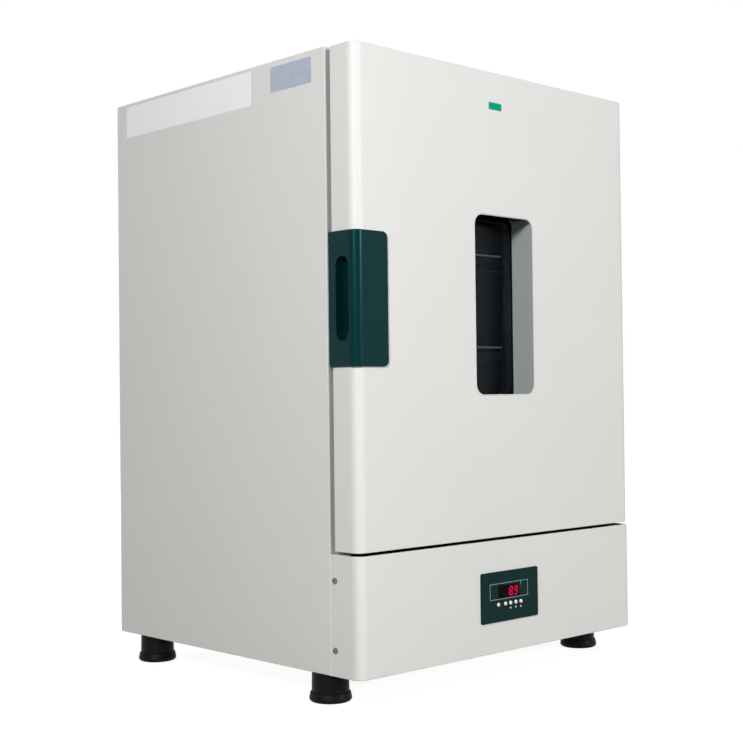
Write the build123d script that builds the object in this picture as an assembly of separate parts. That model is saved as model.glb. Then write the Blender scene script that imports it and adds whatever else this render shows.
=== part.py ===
from build123d import *

import math
import os

# A free-standing laboratory drying oven. X runs to the right, Y from the front to the back and
# Z up. The origin is on the floor, in the middle of the cabinet's width and of the whole depth.

# Cabinet
CABINET_WIDTH = 566.0
CABINET_HEIGHT = 800.0
CABINET_DEPTH = 480.0
FRONT_DEPTH = 53.2
CORNER_RADIUS = 13.5
SHEET = 1.2
EDGE_RADIUS = 1.0
HEM_WIDTH = 6.0
REAR_RETURN = 22.0
BOTTOM_RETURN = 60.0
TOP_RETURN = 20.0

# Fits between pieces
FIT = 0.3
SHAFT_FIT = 0.05
THREAD_FIT = 0.1

# Feet
FOOT_HEIGHT = 39.0
FOOT_TOP_RADIUS = 24.0
FOOT_WAIST_RADIUS = 24.5
FOOT_SHOULDER_RADIUS = 26.2
FOOT_SKIRT_RADIUS = 28.9
FOOT_SKIRT_HEIGHT = 12.5
FOOT_SHOULDER_ROUND = 1.2
FOOT_BOTTOM_ROUND = 4.5
FOOT_RECESS_RADIUS = 12.0
FOOT_RECESS_DEPTH = 14.0
FOOT_INSET_SIDE = 25.0
FOOT_INSET_FRONT = 83.0
FOOT_INSET_REAR = 59.0
FOOT_SCREW_RADIUS = 4.0
FOOT_SCREW_HEAD_RADIUS = 8.0
FOOT_SCREW_HEAD_HEIGHT = 5.0
FOOT_NUT_HEIGHT = 6.5
FOOT_NUT_RADIUS = 7.5

# Lower front panel and the controller in it
LOWER_PANEL_HEIGHT = 153.5
SEAM_GAP = 0.8
BRACKET_REACH = 24.0
BRACKET_FOOT = 20.0
BRACKET_MARGIN = 10.0
PANEL_SCREW_SETBACK = 9.0
PANEL_SCREW_HEIGHTS = (33.0, 121.0)
FASCIA_WIDTH = 118.5
FASCIA_HEIGHT = 68.7
FASCIA_BOTTOM = 42.3
FASCIA_THICKNESS = 2.0
FASCIA_RADIUS = 3.0
HOUSING_WIDTH = 100.0
HOUSING_HEIGHT = 54.0
HOUSING_DEPTH = 45.0
HOUSING_WALL = 2.0
LENS_WIDTH = 44.0
LENS_HEIGHT = 17.4
LENS_CENTRE_X = -3.0
LENS_CENTRE_HEIGHT = 82.5
LENS_RADIUS = 1.0
BOARD_THICKNESS = 1.6
BOARD_DISTANCE = 9.0
BOARD_MARGIN = 1.0
BUTTON_HEIGHT = 66.2
BUTTON_OFFSETS = (-25.4, -10.8, 0.0, 10.8, 21.6)
BUTTON_RADIUS = 2.6
BUTTON_PROUD = 1.2
BUTTON_DOME = 0.5
BUTTON_FLANGE_RADIUS = 4.0
BUTTON_FLANGE_THICKNESS = 1.0
BUTTON_STEM_RADIUS = 1.6
BUTTON_TRAVEL = 0.8
TACT_SIZE = 6.0
TACT_HEIGHT = 4.3
LAMP_RADIUS = 1.1
LAMP_X = 22.0
LAMP_HEIGHTS = (80.7, 87.7)
LAMP_PROUD = 0.3
LAMP_LENGTH = 5.0

# Door
DOOR_SIDE_GAP = 2.5
DOOR_BOTTOM = 157.7
DOOR_TOP_GAP = 2.0
DOOR_SEAT_GAP = 10.0
WINDOW_WIDTH = 121.5
WINDOW_HEIGHT = 246.0
WINDOW_BOTTOM = 353.6
WINDOW_RADIUS = 15.0
WINDOW_FRAME_WALL = 1.0
WINDOW_RECESS = 39.5
GLASS_THICKNESS = 4.0
GLASS_MARGIN = 8.0
PAN_MARGIN_SIDE = 6.0
PAN_WALL = 1.0
PAN_PROUD = 9.0
PAN_FLANGE = 10.0
PAN_RADIUS = 12.0
GASKET_INSET = 12.0
GASKET_WIDTH = 14.0
GASKET_ROUND = 3.0
DOOR_WOOL_INSET = 15.0
KEEPER_THICKNESS = 2.0
MAGNET_WIDTH = 12.0
MAGNET_HEIGHT = 40.0
MAGNET_GAP = 8.0
MAGNET_SPACING = 220.0

# Handle
HANDLE_BOTTOM = 390.3
HANDLE_HEIGHT = 171.5
HANDLE_REACH = 54.3
HANDLE_PROUD = 3.0
HANDLE_LIP = 6.0
HANDLE_LIP_DEPTH = 6.2
HANDLE_RADIUS = 8.0
HANDLE_CORNER_RADIUS = 12.0
HANDLE_EDGE = 1.5
GRIP_WIDTH = 23.7
GRIP_HEIGHT = 106.4
GRIP_SETBACK = 31.2
GRIP_DEPTH = 13.0
GRIP_WALL = 1.5
GRIP_EDGE = 1.0

# Hinges
HINGE_AXIS_OUT = 5.0
HINGE_AXIS_AHEAD = 5.0
KNUCKLE_RADIUS = 5.0
KNUCKLE_HEIGHT = 26.0
HINGE_LEAF = 2.5
CABINET_LEAF_REACH = 38.0
DOOR_LEAF_REACH = 28.0
HINGE_INSET = 70.0
HINGE_PIN_RADIUS = 3.0
PIN_HEAD_RADIUS = 4.2
PIN_HEAD_HEIGHT = 1.5
LEAF_SCREW_SPREAD = 30.0

# Screws of the sheet metal
SCREW_RADIUS = 2.0
SCREW_HEAD_RADIUS = 4.0
SCREW_HEAD_HEIGHT = 2.6
SCREW_LENGTH = 8.0
REAR_SCREW_ROWS = 4
REAR_SCREW_MARGIN = 40.0

# Chamber
CHAMBER_SIDE_WALL = 58.0
CHAMBER_TOP_WALL = 72.0
CHAMBER_BACK_WALL = 90.0
CHAMBER_BOTTOM = 228.0
CHAMBER_RADIUS = 10.0
LINER = 1.0
FRAME_RETURN = 20.0
FRAME_BOTTOM = 150.0
REAR_WOOL = 32.0
WOOL_POCKET_MARGIN = 8.0

# Shelves and what carries them
UPRIGHT_WIDTH = 20.0
UPRIGHT_DEPTH = 6.0
UPRIGHT_SHEET = 1.5
UPRIGHT_SETBACK = 50.0
UPRIGHT_MARGIN = 20.0
UPRIGHT_SLOTS = 14
UPRIGHT_SLOT_HEIGHT = 4.0
UPRIGHT_SLOT_WIDTH = 10.0
RUNNER_SHEET = 1.2
RUNNER_LEDGE = 14.0
RUNNER_DEPTH = 12.0
RUNNER_START = 36.0
RUNNER_END_GAP = 14.0
SHELF_HEIGHTS = (422.5, 556.5)
SHELF_FRONT = 32.0
SHELF_END_GAP = 12.0
SHELF_SIDE_GAP = 2.0
SHELF_ROD_RADIUS = 3.0
SHELF_WIRE_RADIUS = 1.5
SHELF_WIRE_PITCH = 24.0
SHELF_CORNER_RADIUS = 12.0
SHELF_CROSS_INSET = 38.0
SHELF_WIRE_BITE = 0.1

# Air circulation
PLENUM = 40.0
BAFFLE_MARGIN = 16.0
BAFFLE_HOLE_RADIUS = 6.0
BAFFLE_RING_RADII = (0.0, 22.0, 44.0)
BAFFLE_RING_HOLES = (1, 6, 12)
FAN_RADIUS = 70.0
FAN_EYE_RADIUS = 46.0
FAN_BLADES = 20
FAN_BLADE_THICKNESS = 1.5
FAN_BLADE_LEAD = 14.0
FAN_WIDTH = 24.0
FAN_PLATE = 1.5
FAN_HUB_RADIUS = 11.0
FAN_HUB_LENGTH = 18.0
FAN_SETBACK = 8.0
SHAFT_RADIUS = 4.0
SHAFT_HOLE_RADIUS = 6.0
MOTOR_STAND = 34.0
MOTOR_RADIUS = 36.0
MOTOR_LENGTH = 36.0
MOTOR_CAP_RADIUS = 12.0
MOTOR_CAP_LENGTH = 6.0
MOTOR_BORE_DEPTH = 26.0
BRACKET_WIDTH = 96.0
BRACKET_HEIGHT = 76.0
BRACKET_SHEET = 2.0
MOTOR_FOOT = 10.0
HEATER_RING_RADIUS = 92.0
HEATER_TUBE_RADIUS = 4.0
HEATER_SETBACK = 20.0
HEATER_GAP_ANGLE = 24.0
HEATER_GAP_MIDDLE = 270.0
HEATER_TAIL = 14.0
PROBE_RADIUS = 2.5
PROBE_REACH = 60.0
PROBE_TAIL = 14.0
PROBE_NUT_RADIUS = 6.0
PROBE_NUT_HEIGHT = 5.0
PROBE_INSET_SIDE = 40.0
PROBE_INSET_TOP = 18.0

# Exhaust port and its damper
EXHAUST_RADIUS = 19.0
EXHAUST_WALL = 1.5
EXHAUST_SETBACK = 200.0
EXHAUST_RISE = 14.0
EXHAUST_FLANGE_RADIUS = 30.0
EXHAUST_FLANGE = 1.5
VENT_COUNT = 4
VENT_ANGLE = 40.0
VENT_HEIGHT = 7.0
VENT_SILL = 4.0
CAP_WALL = 1.8
CAP_TOP = 2.0
CAP_GRIP_LENGTH = 34.0
CAP_GRIP_WIDTH = 6.0
CAP_GRIP_HEIGHT = 7.0
DAMPER_TURN = 45.0

# Rear of the cabinet
LOUVRE_COLUMNS = (-140.0, 0.0, 140.0)
LOUVRE_ROWS = 5
LOUVRE_PITCH = 16.0
LOUVRE_FIRST = 60.0
LOUVRE_LENGTH = 80.0
LOUVRE_HEIGHT = 7.0
COVER_MARGIN = 6.0
GLAND_INSET = 73.0
GLAND_HEIGHT = 60.0
GLAND_HEX_RADIUS = 12.0
GLAND_HEX_LENGTH = 6.0
GLAND_DOME_RADIUS = 9.5
GLAND_DOME_LENGTH = 10.0
GLAND_THREAD_RADIUS = 8.0
GLAND_NUT_HEIGHT = 5.0
GLAND_BORE_RADIUS = 4.5
SWITCH_INSET = 73.0
SWITCH_HEIGHT = 80.0
SWITCH_BEZEL_WIDTH = 22.0
SWITCH_BEZEL_HEIGHT = 32.0
SWITCH_BODY_WIDTH = 18.0
SWITCH_BODY_HEIGHT = 27.0
SWITCH_BODY_DEPTH = 20.0
SWITCH_BEZEL = 2.0
ROCKER_RADIUS = 10.0
ROCKER_WIDTH = 13.0
ROCKER_TILT = 8.0
ROCKER_SINK = 3.0
ROCKER_VALLEY = 4.5

# Relay on the base plate
SINK_LENGTH = 80.0
SINK_WIDTH = 50.0
SINK_BASE = 6.0
SINK_HEIGHT = 36.0
SINK_FINS = 8
SINK_FIN = 1.8
RELAY_LENGTH = 58.0
RELAY_WIDTH = 44.0
RELAY_HEIGHT = 26.0
RELAY_X = 120.0
RELAY_SETBACK = 180.0

# Planes that everything is set out from
REAR_REACH = SHEET + GLAND_HEX_LENGTH + GLAND_DOME_LENGTH
LEFT = -CABINET_WIDTH / 2
RIGHT = CABINET_WIDTH / 2
FACE_Y = (HANDLE_PROUD - FRONT_DEPTH - CABINET_DEPTH - REAR_REACH) / 2
SEAT_Y = FACE_Y + FRONT_DEPTH
BACK_Y = SEAT_Y + CABINET_DEPTH
BASE_Z = FOOT_HEIGHT
TOP_Z = BASE_Z + CABINET_HEIGHT
HEM = 2 * SHEET
WOOL_GAP = SCREW_LENGTH - HINGE_LEAF - SHEET + FIT
DOOR_LEFT = LEFT
DOOR_RIGHT = RIGHT - DOOR_SIDE_GAP
DOOR_BACK_Y = SEAT_Y - DOOR_SEAT_GAP
DOOR_LOW_Z = BASE_Z + DOOR_BOTTOM
DOOR_TOP_Z = TOP_Z - DOOR_TOP_GAP
WINDOW_LOW_Z = BASE_Z + WINDOW_BOTTOM
GLASS_Y = FACE_Y + WINDOW_RECESS
CHAMBER_WIDTH = CABINET_WIDTH - 2 * CHAMBER_SIDE_WALL
CHAMBER_HEIGHT = CABINET_HEIGHT - CHAMBER_BOTTOM - CHAMBER_TOP_WALL
CHAMBER_DEPTH = CABINET_DEPTH - CHAMBER_BACK_WALL
CHAMBER_LOW_Z = BASE_Z + CHAMBER_BOTTOM
CHAMBER_TOP_Z = CHAMBER_LOW_Z + CHAMBER_HEIGHT
CHAMBER_MID_Z = CHAMBER_LOW_Z + CHAMBER_HEIGHT / 2
CHAMBER_BACK_Y = SEAT_Y + CHAMBER_DEPTH
LINER_BACK_Y = CHAMBER_BACK_Y + LINER
DIVIDER_Z = BASE_Z + FRAME_BOTTOM + SHEET
BAFFLE_Y = CHAMBER_BACK_Y - PLENUM
BAFFLE_SETBACK = CHAMBER_DEPTH - PLENUM
UPRIGHT_SETBACKS = (UPRIGHT_SETBACK, BAFFLE_SETBACK - UPRIGHT_SETBACK)
RUNNER_LENGTH = BAFFLE_SETBACK - RUNNER_START - RUNNER_END_GAP
SHELF_DEPTH = BAFFLE_SETBACK - SHELF_FRONT - SHELF_END_GAP
HINGE_X = RIGHT + HINGE_AXIS_OUT
HINGE_Y = SEAT_Y - HINGE_AXIS_AHEAD
EXHAUST_Y = SEAT_Y + EXHAUST_SETBACK
GLAND_X = LEFT + GLAND_INSET
SWITCH_X = RIGHT - SWITCH_INSET

NEAR = 1e-3


# Helpers


def block(xs, ys, zs):
    """A box from its low and high bounds along X, Y and Z."""
    middle = [(low + high) / 2 for low, high in (xs, ys, zs)]
    size = [high - low for low, high in (xs, ys, zs)]
    return Pos(*middle) * Box(*size)


def grown(bounds, amount):
    """Bounds moved outwards by an amount at both ends."""
    return (bounds[0] - amount, bounds[1] + amount)


def around(middle, width):
    """Bounds of a width about a middle."""
    return (middle - width / 2, middle + width / 2)


def facing_y(x, y, z):
    """A plane at a point whose normal runs towards the back."""
    return Plane(origin=(x, y, z), x_dir=(1, 0, 0), z_dir=(0, 1, 0))


def slab(xs, ys, zs, radius):
    """A plate square to Y with rounded corners."""
    middle_x, middle_z = (xs[0] + xs[1]) / 2, (zs[0] + zs[1]) / 2
    outline = RectangleRounded(xs[1] - xs[0], zs[1] - zs[0], radius)
    return extrude(facing_y(middle_x, ys[0], middle_z) * outline, amount=ys[1] - ys[0])


def rod(start, direction, radius, length):
    """A round bar that runs from a point in a direction."""
    return extrude(Plane(origin=start, z_dir=direction) * Circle(radius), amount=length)


def turned(points, rounds=()):
    """A closed outline of (radius, height) points turned about Z, some corners rounded."""
    outline = make_face(Polyline(*points, close=True))
    for radius, height, size in rounds:
        corner = outline.vertices().sort_by_distance((radius, height, 0))[0]
        outline = fillet(corner, size)
    return Rot(X=90) * revolve(outline, Axis.Y)


def edges_at(part, **where):
    """The edges that lie wholly at the given X, Y or Z."""

    def lies_there(edge):
        box = edge.bounding_box()
        gaps = [abs(getattr(end, axis) - at) for axis, at in where.items() for end in (box.min, box.max)]
        return max(gaps) < NEAR

    return [edge for edge in part.edges() if lies_there(edge)]


def set_at(part, point, direction):
    """A part made about the origin along Z, placed at a point along a direction."""
    return Plane(origin=point, z_dir=direction).location * part


def group(parts):
    """Separate solids that share one name."""
    return Compound(children=[solid for part in parts for solid in part.solids()])


# Screws and the holes they go through


def pan_screw():
    """A pan head screw, head upwards, whose seat is at the origin."""
    head = [
        (0, -SCREW_LENGTH),
        (SCREW_RADIUS, -SCREW_LENGTH),
        (SCREW_RADIUS, 0),
        (SCREW_HEAD_RADIUS, 0),
        (SCREW_HEAD_RADIUS, SCREW_HEAD_HEIGHT),
        (0, SCREW_HEAD_HEIGHT),
    ]
    return turned(head, [(SCREW_HEAD_RADIUS, SCREW_HEAD_HEIGHT, SCREW_HEAD_HEIGHT * 0.6)])


def screws_at(places):
    """One pan head screw at each (point, direction)."""
    return group([set_at(pan_screw(), point, direction) for point, direction in places])


def screw_holes(places):
    """Clearance holes for the shanks of screws at the places."""
    depth = SCREW_LENGTH + FIT
    shank = Pos(0, 0, -depth) * extrude(Circle(SCREW_RADIUS + THREAD_FIT), amount=2 * depth)
    return [set_at(shank, point, direction) for point, direction in places]


def rear_screw_places():
    """Rear cover screws, in a row up each side."""
    low, high = BASE_Z + REAR_SCREW_MARGIN, TOP_Z - REAR_SCREW_MARGIN
    rise = (high - low) / (REAR_SCREW_ROWS - 1)
    inset = (COVER_MARGIN + REAR_RETURN) / 2
    places = []
    for x in (LEFT + inset, RIGHT - inset):
        for row in range(REAR_SCREW_ROWS):
            places.append(((x, BACK_Y + SHEET, low + row * rise), (0, 1, 0)))
    return places


def panel_screw_places():
    """Screws that hold the lower front panel's two wrapped ends."""
    y = SEAT_Y - PANEL_SCREW_SETBACK
    return [
        ((x, y, BASE_Z + height), (out, 0, 0))
        for x, out in ((LEFT, -1), (RIGHT, 1))
        for height in PANEL_SCREW_HEIGHTS
    ]


def hinge_heights():
    """Middle heights of the lower and the upper hinge."""
    return (DOOR_LOW_Z + HINGE_INSET, DOOR_TOP_Z - HINGE_INSET)


def leaf_screw_places(y):
    """Screws of the hinge leaves at a distance along Y, two to a leaf."""
    return [
        ((RIGHT + HINGE_LEAF, y, height + side * LEAF_SCREW_SPREAD / 2), (1, 0, 0))
        for height in hinge_heights()
        for side in (-1, 1)
    ]


CABINET_LEAF_SCREW_Y = SEAT_Y + CABINET_LEAF_REACH * 0.6
DOOR_LEAF_SCREW_Y = DOOR_BACK_Y - DOOR_LEAF_REACH * 0.5


# Cabinet


def both_sides(left):
    """A left-hand part with its mirror image on the right."""
    return [left, mirror(left, about=Plane.YZ)]


def front_hem():
    """The doubled front edge of the left side panel."""
    return block((LEFT, LEFT + HEM), (SEAT_Y, SEAT_Y + HEM_WIDTH), (BASE_Z, TOP_Z))


def left_side_panel():
    """Folded side sheet: hemmed front edge, rear return and a wide bottom return."""
    length, height = (SEAT_Y, BACK_Y), (BASE_Z, TOP_Z)
    panel = block((LEFT, LEFT + SHEET), length, height)
    panel += front_hem()
    panel += block((LEFT, LEFT + REAR_RETURN), (BACK_Y - SHEET, BACK_Y), height)
    panel += block((LEFT, LEFT + BOTTOM_RETURN), length, (BASE_Z, BASE_Z + SHEET))
    folds = edges_at(panel, X=LEFT, Y=SEAT_Y) + edges_at(panel, X=LEFT, Y=BACK_Y)
    return fillet(folds + edges_at(panel, X=LEFT, Z=BASE_Z), EDGE_RADIUS)


def side_panels():
    """Both side panels, with the holes of the screws that pass through them."""
    left = left_side_panel()
    right = mirror(left, about=Plane.YZ)
    foot_holes = foot_hole_tools()
    rear_holes = screw_holes(rear_screw_places())
    leaf_holes = screw_holes(leaf_screw_places(CABINET_LEAF_SCREW_Y))
    return left - foot_holes - rear_holes, right - foot_holes - rear_holes - leaf_holes


def top_panel():
    """Flat top between the side panels, turned down at the rear."""
    width = (LEFT + SHEET, RIGHT - SHEET)
    panel = block(width, (SEAT_Y, BACK_Y - SHEET), (TOP_Z - SHEET, TOP_Z))
    panel += block(width, (BACK_Y - HEM, BACK_Y - SHEET), (TOP_Z - TOP_RETURN, TOP_Z))
    panel -= both_sides(front_hem())
    return panel - rod((0, EXHAUST_Y, TOP_Z - HEM), (0, 0, 1), EXHAUST_RADIUS + FIT, 2 * HEM)


def base_plate():
    """Floor of the lower compartment, on the side panels' bottom returns."""
    width = (LEFT + SHEET, RIGHT - SHEET)
    low = BASE_Z + SHEET
    plate = block(width, (SEAT_Y, BACK_Y - SHEET), (low, low + SHEET))
    plate += block(width, (BACK_Y - HEM, BACK_Y - SHEET), (low, low + TOP_RETURN))
    return plate - both_sides(front_hem()) - foot_hole_tools()


def compartment_divider():
    """Sheet between the electrical compartment and the insulated chamber."""
    width = (LEFT + SHEET, RIGHT - SHEET)
    sheet = block(width, (SEAT_Y + SHEET, BACK_Y - SHEET), (DIVIDER_Z, DIVIDER_Z + SHEET))
    sheet += block(width, (BACK_Y - HEM, BACK_Y - SHEET), (DIVIDER_Z, DIVIDER_Z + TOP_RETURN))
    frame_side = block((LEFT, LEFT + HEM + SHEET), (SEAT_Y, SEAT_Y + FRAME_RETURN), (BASE_Z, TOP_Z))
    return sheet - both_sides(frame_side)


def front_frame():
    """The sheet ring that the door closes on, its outer edges turned back."""
    width, height = (LEFT + HEM, RIGHT - HEM), (BASE_Z + FRAME_BOTTOM, TOP_Z - SHEET)
    outer = block(width, (SEAT_Y, SEAT_Y + FRAME_RETURN), height)
    inner = block(grown(width, -SHEET), (SEAT_Y + SHEET, SEAT_Y + 2 * FRAME_RETURN), grown(height, -SHEET))
    frame = outer - inner
    mouth = slab(
        (-CHAMBER_WIDTH / 2, CHAMBER_WIDTH / 2),
        (SEAT_Y - SHEET, SEAT_Y + HEM),
        (CHAMBER_LOW_Z, CHAMBER_TOP_Z),
        CHAMBER_RADIUS,
    )
    return frame - mouth


def inner_chamber():
    """Stainless liner: a folded box with rounded long edges, open at the front."""
    width, height = (-CHAMBER_WIDTH / 2, CHAMBER_WIDTH / 2), (CHAMBER_LOW_Z, CHAMBER_TOP_Z)
    front = SEAT_Y + SHEET
    outer = slab(grown(width, LINER), (front, LINER_BACK_Y), grown(height, LINER), CHAMBER_RADIUS + LINER)
    inner = slab(width, (front - SHEET, CHAMBER_BACK_Y), height, CHAMBER_RADIUS)
    liner = outer - inner
    through = CHAMBER_BACK_Y - LINER
    liner -= rod((0, through, CHAMBER_MID_Z), (0, 1, 0), SHAFT_HOLE_RADIUS, 3 * LINER)
    liner -= rod((0, EXHAUST_Y, CHAMBER_TOP_Z - LINER), (0, 0, 1), EXHAUST_RADIUS + FIT, 3 * LINER)
    for x, z in heater_ends():
        liner -= rod((x, through, z), (0, 1, 0), HEATER_TUBE_RADIUS + FIT, 3 * LINER)
    x, z = probe_place()
    return liner - rod((x, through, z), (0, 1, 0), PROBE_RADIUS + FIT, 3 * LINER)


def insulation():
    """Mineral wool slabs that fill the space round the liner."""
    low_x, high_x = -CHAMBER_WIDTH / 2 - LINER, CHAMBER_WIDTH / 2 + LINER
    low_z, high_z = CHAMBER_LOW_Z - LINER, CHAMBER_TOP_Z + LINER
    depth = (SEAT_Y + FRAME_RETURN, LINER_BACK_Y)
    full_width = (LEFT + SHEET + WOOL_GAP, RIGHT - SHEET - WOOL_GAP)
    top = block(full_width, depth, (high_z, TOP_Z - SHEET - WOOL_GAP))
    top -= rod((0, EXHAUST_Y, high_z - LINER), (0, 0, 1), EXHAUST_RADIUS + FIT, CABINET_HEIGHT)
    bottom = block(full_width, depth, (DIVIDER_Z + SHEET, low_z))
    left = block((full_width[0], low_x), depth, (low_z, high_z))
    right = block((high_x, full_width[1]), depth, (low_z, high_z))
    back = block((low_x, high_x), (LINER_BACK_Y, LINER_BACK_Y + REAR_WOOL), (low_z, high_z))
    heater_low = CHAMBER_MID_Z - HEATER_RING_RADIUS - HEATER_TUBE_RADIUS
    pocket = block(
        around(0, BRACKET_WIDTH + 2 * MOTOR_FOOT + 2 * WOOL_POCKET_MARGIN),
        (LINER_BACK_Y - LINER, LINER_BACK_Y + 2 * REAR_WOOL),
        (heater_low - WOOL_POCKET_MARGIN, CHAMBER_MID_Z + BRACKET_HEIGHT / 2 + WOOL_POCKET_MARGIN),
    )
    x, z = probe_place()
    probe_pocket = rod((x, LINER_BACK_Y - LINER, z), (0, 1, 0), 2 * PROBE_NUT_RADIUS, 2 * REAR_WOOL)
    return group([top, bottom, left, right, back - pocket - probe_pocket])


# Lower front panel


def lower_front_panel():
    """Tray that wraps round the front corners, with a cut-out for the controller."""
    width, depth = (LEFT, RIGHT), (FACE_Y, SEAT_Y - SEAM_GAP)
    height = (BASE_Z, BASE_Z + LOWER_PANEL_HEIGHT)
    outer = block(width, depth, height)
    outer = fillet(edges_at(outer, X=LEFT, Y=FACE_Y) + edges_at(outer, X=RIGHT, Y=FACE_Y), CORNER_RADIUS)
    rims = [e for z in height for e in edges_at(outer, Z=z) if e.bounding_box().max.Y < depth[1] - NEAR]
    ends = [e for z in height for x in width for e in edges_at(outer, X=x, Z=z)]
    outer = fillet(rims + ends, EDGE_RADIUS)
    inside_depth = (FACE_Y + SHEET, SEAT_Y + SHEET)
    inner = block(grown(width, -SHEET), inside_depth, grown(height, -SHEET))
    corners = [e for x in grown(width, -SHEET) for e in edges_at(inner, X=x, Y=FACE_Y + SHEET)]
    inner = fillet(corners, CORNER_RADIUS - SHEET)
    cut_out = block(
        around(0, HOUSING_WIDTH + 2 * FIT),
        (FACE_Y - SHEET, FACE_Y + HEM),
        around(housing_middle(), HOUSING_HEIGHT + 2 * FIT),
    )
    return outer - inner - cut_out - screw_holes(panel_screw_places())


def panel_brackets():
    """Two strips inside the side panels that the lower front panel screws to."""
    height = (BASE_Z + BRACKET_MARGIN, BASE_Z + LOWER_PANEL_HEIGHT - BRACKET_MARGIN)
    depth = (SEAT_Y - BRACKET_REACH, SEAT_Y + HEM_WIDTH + BRACKET_FOOT)
    strip = block((LEFT + SHEET, LEFT + HEM), depth, height)
    strip -= block((LEFT, LEFT + HEM), (SEAT_Y - FIT, SEAT_Y + HEM_WIDTH + FIT), grown(height, SHEET))
    bridge = block((LEFT + HEM, LEFT + HEM + SHEET), (SEAT_Y - HEM_WIDTH, SEAT_Y + 2 * HEM_WIDTH), height)
    holes = screw_holes(panel_screw_places())
    return group([side - holes for side in both_sides(strip + bridge)])


# Controller


def housing_middle():
    """Height of the middle of the controller's housing."""
    return BASE_Z + FASCIA_BOTTOM + FASCIA_HEIGHT / 2


def button_places():
    """Middle of each button on the fascia's front face."""
    return [(offset, FACE_Y - FASCIA_THICKNESS, BASE_Z + BUTTON_HEIGHT) for offset in BUTTON_OFFSETS]


def controller_fascia():
    """Front plate of the controller, with its window and the holes of buttons and lamps."""
    front = FACE_Y - FASCIA_THICKNESS
    height = (BASE_Z + FASCIA_BOTTOM, BASE_Z + FASCIA_BOTTOM + FASCIA_HEIGHT)
    plate = slab(around(0, FASCIA_WIDTH), (front, FACE_Y), height, FASCIA_RADIUS)
    plate = fillet(edges_at(plate, Y=front), FASCIA_THICKNESS / 4)
    plate -= display_slab(FIT, (front - SHEET, FACE_Y + SHEET))
    for x, y, z in button_places():
        plate -= rod((x, y - SHEET, z), (0, 1, 0), BUTTON_RADIUS + FIT, 2 * FASCIA_THICKNESS + SHEET)
    for lamp_height in LAMP_HEIGHTS:
        place = (LAMP_X, front - SHEET, BASE_Z + lamp_height)
        plate -= rod(place, (0, 1, 0), LAMP_RADIUS + THREAD_FIT, 2 * FASCIA_THICKNESS + SHEET)
    return plate


def display_slab(growth, depth):
    """The display window's shape, grown all round, between two depths."""
    width = grown(around(LENS_CENTRE_X, LENS_WIDTH), growth)
    height = grown(around(BASE_Z + LENS_CENTRE_HEIGHT, LENS_HEIGHT), growth)
    return slab(width, depth, height, LENS_RADIUS + growth)


def display_lens():
    """Smoked window in front of the digits."""
    return display_slab(0, (FACE_Y - FASCIA_THICKNESS + LAMP_PROUD, FACE_Y))


def led_display():
    """Digit module between the lens and the circuit board."""
    return display_slab(-LENS_RADIUS / 2, (FACE_Y, FACE_Y + BOARD_DISTANCE))


def controller_housing():
    """Box behind the panel, open towards the fascia."""
    width = around(0, HOUSING_WIDTH)
    height = around(housing_middle(), HOUSING_HEIGHT)
    outer = slab(width, (FACE_Y, FACE_Y + HOUSING_DEPTH), height, HOUSING_WALL)
    inner = block(
        grown(width, -HOUSING_WALL),
        (FACE_Y - HOUSING_WALL, FACE_Y + HOUSING_DEPTH - HOUSING_WALL),
        grown(height, -HOUSING_WALL),
    )
    return outer - inner


def controller_board():
    """Circuit board held between the housing's side walls, with a switch behind each button."""
    width = grown(around(0, HOUSING_WIDTH), -HOUSING_WALL)
    height = grown(around(housing_middle(), HOUSING_HEIGHT), -HOUSING_WALL - BOARD_MARGIN)
    front = FACE_Y + BOARD_DISTANCE
    board = block(width, (front, front + BOARD_THICKNESS), height)
    switches = [
        block(around(x, TACT_SIZE), (front - TACT_HEIGHT, front), around(z, TACT_SIZE))
        for x, _, z in button_places()
    ]
    return group([board] + switches)


def button(place):
    """Round cap with a flange behind the fascia and a stem towards its switch."""
    x, front, z = place
    stem_end = FACE_Y + BOARD_DISTANCE - TACT_HEIGHT - BUTTON_TRAVEL - FIT
    flange = FACE_Y + FIT
    outline = [
        (0, stem_end - front),
        (BUTTON_STEM_RADIUS, stem_end - front),
        (BUTTON_STEM_RADIUS, flange + BUTTON_FLANGE_THICKNESS - front),
        (BUTTON_FLANGE_RADIUS, flange + BUTTON_FLANGE_THICKNESS - front),
        (BUTTON_FLANGE_RADIUS, flange - front),
        (BUTTON_RADIUS, flange - front),
        (BUTTON_RADIUS, -BUTTON_PROUD),
        (0, -BUTTON_PROUD),
    ]
    cap = turned(outline, [(BUTTON_RADIUS, -BUTTON_PROUD, BUTTON_DOME)])
    return set_at(cap, (x, front, z), (0, 1, 0))


def indicator_lamps():
    """Two small round lamps, one over the other, beside the display."""
    length = LAMP_PROUD + FASCIA_THICKNESS + LAMP_LENGTH
    start = FACE_Y - FASCIA_THICKNESS - LAMP_PROUD
    lamps = []
    for lamp_height in LAMP_HEIGHTS:
        lamp = rod((LAMP_X, start, BASE_Z + lamp_height), (0, 1, 0), LAMP_RADIUS, length)
        lamps.append(fillet(edges_at(lamp, Y=start), LAMP_PROUD))
    return group(lamps)


# Feet


def foot_places():
    """Name and middle of each foot."""
    places = {}
    for side, x in (("left", LEFT + FOOT_INSET_SIDE), ("right", RIGHT - FOOT_INSET_SIDE)):
        places[f"foot_front_{side}"] = (x, FACE_Y + FOOT_INSET_FRONT)
        places[f"foot_rear_{side}"] = (x, BACK_Y - FOOT_INSET_REAR)
    return places


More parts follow.
